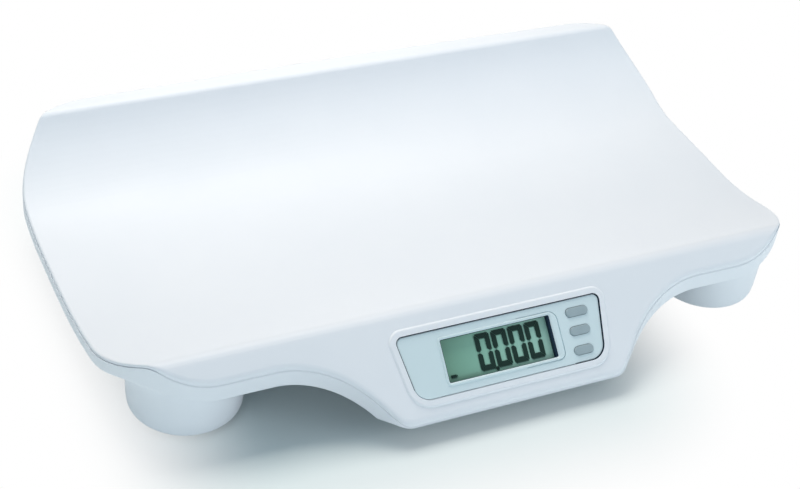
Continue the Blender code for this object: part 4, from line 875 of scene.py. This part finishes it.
def zero(x, y, width, height, thick):
    """The six bars of a zero around its middle."""
    across, tall = width / 2, height / 2
    flat = [
        (CUT - across, tall), (CUT / 2 + SLIT - across, tall - CUT / 2),
        (thick + SLIT - across, tall - thick), (across - thick - SLIT, tall - thick),
        (across - CUT / 2 - SLIT, tall - CUT / 2), (across - CUT, tall),
    ]
    post = [
        (-across, tall - CUT), (-across, SLIT * 2 + thick * 0.2),
        (thick / 2 - across, SLIT * 2), (thick - across, SLIT * 2 + thick * 0.4),
        (thick - across, tall - thick - SLIT), (CUT / 2 - across, tall - CUT / 2 - SLIT),
    ]
    bars = []
    for line, flip_x, flip_y in (
        (flat, 1, 1), (post, -1, 1), (post, -1, -1), (flat, 1, -1), (post, 1, -1), (post, 1, 1),
    ):
        line = line if flip_x * flip_y > 0 else line[::-1]
        bars.append([(x + flip_x * u, y + flip_y * v) for u, v in line])
    return bars


print("a zero has", len(zero(0, 0, 1, 2, 0.2)), "bars")

# %% [markdown]
# The display reads zero to three places: four zeros, the point between the first two, and the small sign
# of a battery cell low on the left. All of it is drawn as thin plates. A paler copy just behind them,
# moved down a little, is the shadow that real segments throw on the reflector. A printed picture would do
# for one view, but plates stay crisp at any size.

# %% Digits, point and cell sign
SEGMENT = finish("segments", (24, 48, 43), (30, 55, 49), (0.30, 0.40), patch=300.0, Specular_IOR_Level=0.12)
SHADOW = finish(
    "segment_shadow", (84, 126, 110), (92, 134, 118), (0.30, 0.40), patch=300.0, Specular_IOR_Level=0.2,
)
DIGIT_FIRST, DIGIT_STEP, DIGIT_MIDDLE = -0.0151, 0.0132, PANEL_HIGH / 2 - 0.0222
DIGIT_WIDE, DIGIT_HIGH, DIGIT_BAR = 0.0117, 0.0260, 0.0036
POINT = (-0.0098, DIGIT_MIDDLE - 0.0146, -0.0072, DIGIT_MIDDLE - 0.0120, 0.00129)
CELL_X, CELL_Y = -0.0445, PANEL_HIGH / 2 - 0.0350
CELL_CAN = (CELL_X, CELL_Y, CELL_X + 0.0042, CELL_Y + 0.0020, 0.0002)
CELL_TIP = (CELL_X + 0.0044, CELL_Y + 0.0005, CELL_X + 0.0050, CELL_Y + 0.0015, 0.0001)
SEGMENTS_AT, SHADOWS_AT = (0.00012, 0.00006), (0.00058, 0.00055)
SHADOW_RIGHT, SHADOW_DOWN = 0.0004, 0.0006


def thin_plates(outlines, depths):
    """Plates that lie behind the front of the glass, between two depths."""
    low, high = GLASS_FRONT - depths[0], GLASS_FRONT - depths[1]
    return mesh_of(together(*(prism(outline, low, high) for outline in outlines)))


shapes = []
for k in range(4):
    shapes += zero(DIGIT_FIRST + DIGIT_STEP * k, DIGIT_MIDDLE, DIGIT_WIDE, DIGIT_HIGH, DIGIT_BAR)
shapes += [rectangle(*POINT, 8), rectangle(*CELL_CAN), rectangle(*CELL_TIP)]
dark = thin_plates(shapes, SEGMENTS_AT)
piece("display_digits", dark, SEGMENT, "scale_body", "lcd_green", matrix=SLOPE)
behind = [[(x + SHADOW_RIGHT, y - SHADOW_DOWN) for x, y in outline] for outline in shapes]
cast = thin_plates(behind, SHADOWS_AT)
piece("display_shadow", cast, SHADOW, "scale_body", "lcd_green", matrix=SLOPE)

# %% [markdown]
# The keys are pills of soft rubber. Their tops bulge by only 0.6 mm, in six rings that shrink faster
# and faster. A subdivided block would bulge too, but rings keep the pill's outline exact. A flange behind
# the panel keeps each key from falling out, and each rides its own body, so it sinks with its joint.

# %% Keys
FLANGE, FLANGE_DEEP, FLANGE_TOP = 0.0011, 0.0012, 0.0003
KEY_SLACK, KEY_STEP, KEY_BULGE = -0.0004, 0.0006, 0.0006
KEY_RINGS = ((0.985, 0.25), (0.95, 0.5), (0.88, 0.72), (0.76, 0.88), (0.58, 0.97), (0.3, 1.0))
for name, (x, y, width, height) in KEYS.items():
    rows = [(key_line(name, FLANGE), panel_back - depth) for depth in (FLANGE_DEEP, FLANGE_TOP)]
    rows += [(key_line(name, KEY_SLACK), z) for z in (panel_back - FLANGE_TOP, PROUD + KEY_STEP)]
    for share, lift in KEY_RINGS:
        line = key_line(name, KEY_SLACK + (share - 1) * height / 2)
        rows.append((line, PROUD + KEY_STEP + KEY_BULGE * lift))
    piece("key_" + name, mesh_of(stack(rows)), KEY, "key_" + name, "key_grey", "button_" + name, matrix=SLOPE)

# %% [markdown]
# What is left of the rough model is right as it stands: cells, springs, screws, leads, the circuit board
# and the sliding door. Those pieces keep their shape and only change their finish, slot by slot. A real
# board is green because of the lacquer over its copper, so it has more gloss than its plastic neighbours.

# %% Inner parts
FINISH_OF = {
    "white_abs": WHITE, "panel_paint": PAINT, "key_grey": KEY, "dark_plastic": DARK, "zinc_steel": STEEL,
    "grey_plastic": GREY, "dark_rubber": RUBBER, "cell_jacket": SLEEVE, "wire_black": BLACK_WIRE,
    "wire_red": RED_WIRE, "lcd_green": REFLECTOR, "board_green": BOARD,
}
changed = 0
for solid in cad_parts.values():
    for i, old in enumerate(solid.data.materials):
        solid.data.materials[i] = FINISH_OF[old.name.split(".")[0]]
        changed += 1
print("slots repainted:", changed)

# %% [markdown]
# The photograph's background is pure white, yet lamps strong enough to bleach the floor would bleach the
# scale too. So floor and sky show white only to rays from the camera, and to those that gloss or glass
# sends on. Light Path tells them apart. All other rays find a plain floor and sky, and light the scale.


# %% Rays that see the backdrop
def rays_that_see(tree):
    """Is 1 for camera, glossy and transmission rays and 0 for those that only carry light."""
    rays = node(tree, "ShaderNodeLightPath")
    mirrored = node(tree, "ShaderNodeMath", operation="MAXIMUM")
    seen = node(tree, "ShaderNodeMath", operation="MAXIMUM")
    join(
        tree,
        (rays.outputs["Is Glossy Ray"], mirrored.inputs[0]),
        (rays.outputs["Is Transmission Ray"], mirrored.inputs[1]),
        (rays.outputs["Is Camera Ray"], seen.inputs[0]),
        (mirrored.outputs[0], seen.inputs[1]),
    )
    return seen.outputs[0]


print("rays that see the backdrop: camera, glossy, transmission")

# %% [markdown]
# The floor is a wide pale sheet. Close to the scale it is a matt surface of a pale green grey, a painted
# shade, that takes the soft shadow. Further out a painted white covers that shadow more and more, by a rule
# that measures how far a spot lies from a rectangle set a little left under the scale, so the white comes
# closer on the right. Painting the whole shadow would be quicker, but it would be wrong from other sides.
# For the rays that carry light, the floor under the scale is a duller grey, or it would make the underside
# glow.

# %% Floor
SHADE_MIDDLE, SHADE_HALF = (0.055, 0.0, 0.0), (0.115, 0.143, 0.0)
WHITE_FROM, DULL_TO = 0.13, 0.07
# Painted shade: near the scale the floor is a pale green grey, not the white seen further out.
FLOOR = finish("floor_paper", (226, 239, 238), (230, 241, 241), (0.8, 0.9), patch=2.0, grain=300.0)
tree = FLOOR.node_tree
place = node(tree, "ShaderNodeTexCoord").outputs["Object"]
centred = node(tree, "ShaderNodeVectorMath", operation="ADD")
centred.inputs[1].default_value = SHADE_MIDDLE
folded = node(tree, "ShaderNodeVectorMath", operation="ABSOLUTE")
beyond = node(tree, "ShaderNodeVectorMath", operation="SUBTRACT")
beyond.inputs[1].default_value = SHADE_HALF
outside = node(tree, "ShaderNodeVectorMath", operation="MAXIMUM")
outside.inputs[1].default_value = (0.0, 0.0, 0.0)
far = node(tree, "ShaderNodeVectorMath", operation="LENGTH")
# Painted light: white covers the floor's shadow with distance from the rectangle, sooner on the right.
whiten = node(tree, "ShaderNodeMapRange", interpolation_type="SMOOTHSTEP", From_Min=0.0, From_Max=WHITE_FROM)
brighten = node(tree, "ShaderNodeMapRange", interpolation_type="SMOOTHSTEP", From_Min=0.0, From_Max=DULL_TO)
seen = rays_that_see(tree)
amount = node(tree, "ShaderNodeMath", operation="MULTIPLY")
plain = node(tree, "ShaderNodeMath", operation="MAXIMUM")
dull = node(tree, "ShaderNodeBsdfDiffuse", Color=colour(120, 136, 144))
bounce = node(tree, "ShaderNodeMixShader")
glow = node(tree, "ShaderNodeEmission")
swap = node(tree, "ShaderNodeMixShader")
join(
    tree,
    (place, centred.inputs[0]),
    (centred.outputs[0], folded.inputs[0]),
    (folded.outputs[0], beyond.inputs[0]),
    (beyond.outputs[0], outside.inputs[0]),
    (outside.outputs[0], far.inputs[0]),
    (far.outputs["Value"], whiten.inputs["Value"]),
    (far.outputs["Value"], brighten.inputs["Value"]),
    (seen, amount.inputs[0]),
    (whiten.outputs["Result"], amount.inputs[1]),
    (seen, plain.inputs[0]),
    (brighten.outputs["Result"], plain.inputs[1]),
    (plain.outputs[0], bounce.inputs["Fac"]),
    (dull.outputs[0], bounce.inputs[1]),
    (tree.nodes["Principled BSDF"].outputs[0], bounce.inputs[2]),
    (amount.outputs[0], swap.inputs["Fac"]),
    (bounce.outputs[0], swap.inputs[1]),
    (glow.outputs[0], swap.inputs[2]),
    (swap.outputs[0], tree.nodes["Material Output"].inputs["Surface"]),
)
floor = bpy.data.objects.new("floor", mesh_of(prism(rectangle(-6, -6, 6, 6, 0.5), -0.02, 0.0), "floor"))
floor.data.materials.append(FLOOR)
bpy.context.scene.collection.objects.link(floor)
print("floor in metres", [round(v, 2) for v in floor.dimensions])

# %% [markdown]
# The sky is a faint cool blue that fills every hollow evenly. Seen directly or in a reflection, it is
# white, so that the horizon behind the floor never shows as a dark strip. A curved backdrop would hide
# the horizon as well, but it would stand in the way of a view from behind.

# %% Sky
SKY_BLUE, SKY_STRENGTH = (0.66, 0.84, 1.0, 1.0), 0.27
world = bpy.data.worlds.new("studio")
bpy.context.scene.world = world
world.use_nodes = True
sky = world.node_tree
fill = sky.nodes["Background"]
fill.inputs["Color"].default_value = SKY_BLUE
fill.inputs["Strength"].default_value = SKY_STRENGTH
backdrop = node(sky, "ShaderNodeBackground", Color=(1.0, 1.0, 1.0, 1.0), Strength=1.0)
swap = node(sky, "ShaderNodeMixShader")
join(
    sky,
    (rays_that_see(sky), swap.inputs["Fac"]),
    (fill.outputs[0], swap.inputs[1]),
    (backdrop.outputs[0], swap.inputs[2]),
    (swap.outputs[0], sky.nodes["World Output"].inputs["Surface"]),
)
print("strength of the sky", SKY_STRENGTH)

# %% [markdown]
# White plastic on white needs its shape from light alone. One soft, warm lamp hangs high up, a little
# behind the scale, so the flat bed is brightest and the slopes fall off with their tilt. Three weak cool
# lamps stand low at the right, the left and the front. They lift the sloping front and the drums, which
# the high lamp leaves in the shade. The right one is the strongest, because the photograph shows the
# right drum lighter than the left. A single bright lamp would be simpler, but would bleach the bed.

# %% Light
COOL = (0.90, 0.96, 1.0)
AIM = (0.0, 0.0, 0.03)


def lamp(name, place, target, size, power, tint):
    light = bpy.data.lights.new(name, "AREA")
    light.shape, light.size, light.size_y = "RECTANGLE", size[0], size[1]
    light.energy, light.color = power, tint
    made = bpy.data.objects.new(name, light)
    made.location = place
    made.rotation_euler = (Vector(target) - Vector(place)).to_track_quat("-Z", "Y").to_euler()
    bpy.context.scene.collection.objects.link(made)
    print(name, power, "watts")


lamp("key_light", (-0.06, 0.43, 1.0), (-0.06, 0.0, 0.0), (0.7, 0.5), 9.2, (1.0, 0.95, 0.89))
lamp("right_fill", (1.2, -0.9, 0.4), AIM, (0.8, 0.4), 5.0, COOL)
lamp("left_fill", (-1.2, -0.6, 0.4), AIM, (0.8, 0.4), 2.0, COOL)
lamp("front_fill", (-0.1, -1.3, 0.22), AIM, (1.2, 0.3), 3.5, COOL)

# %% [markdown]
# The camera was found from the photograph: the corners of the tray, the edges of the drums and the frame
# of the display were matched by least squares, and place, aim, tilt and lens came out together. Placing
# it by eye comes close, but then the drums and the display never fit at the same time.

# %% Camera
YAW, PITCH, TILT = 0.507185, 0.660772, 0.126055
STAND = (-0.48499, -0.84524, 0.78076)
optics = bpy.data.cameras.new("camera")
optics.sensor_width, optics.lens = 36.0, 72.535
optics.clip_start, optics.clip_end = 0.05, 30.0
camera = bpy.data.objects.new("camera", optics)
ahead = Vector((math.sin(YAW) * math.cos(PITCH), math.cos(YAW) * math.cos(PITCH), -math.sin(PITCH)))
level = Vector((math.cos(YAW), -math.sin(YAW), 0))
above = level.cross(ahead)
right = level * math.cos(TILT) + above * math.sin(TILT)
top = above * math.cos(TILT) - level * math.sin(TILT)
camera.matrix_world = Matrix.Translation(STAND) @ Matrix((right, top, -ahead)).transposed().to_4x4()
bpy.context.scene.collection.objects.link(camera)
bpy.context.scene.camera = camera
bpy.context.scene.view_settings.view_transform = "Standard"
print("lens in mm", optics.lens)
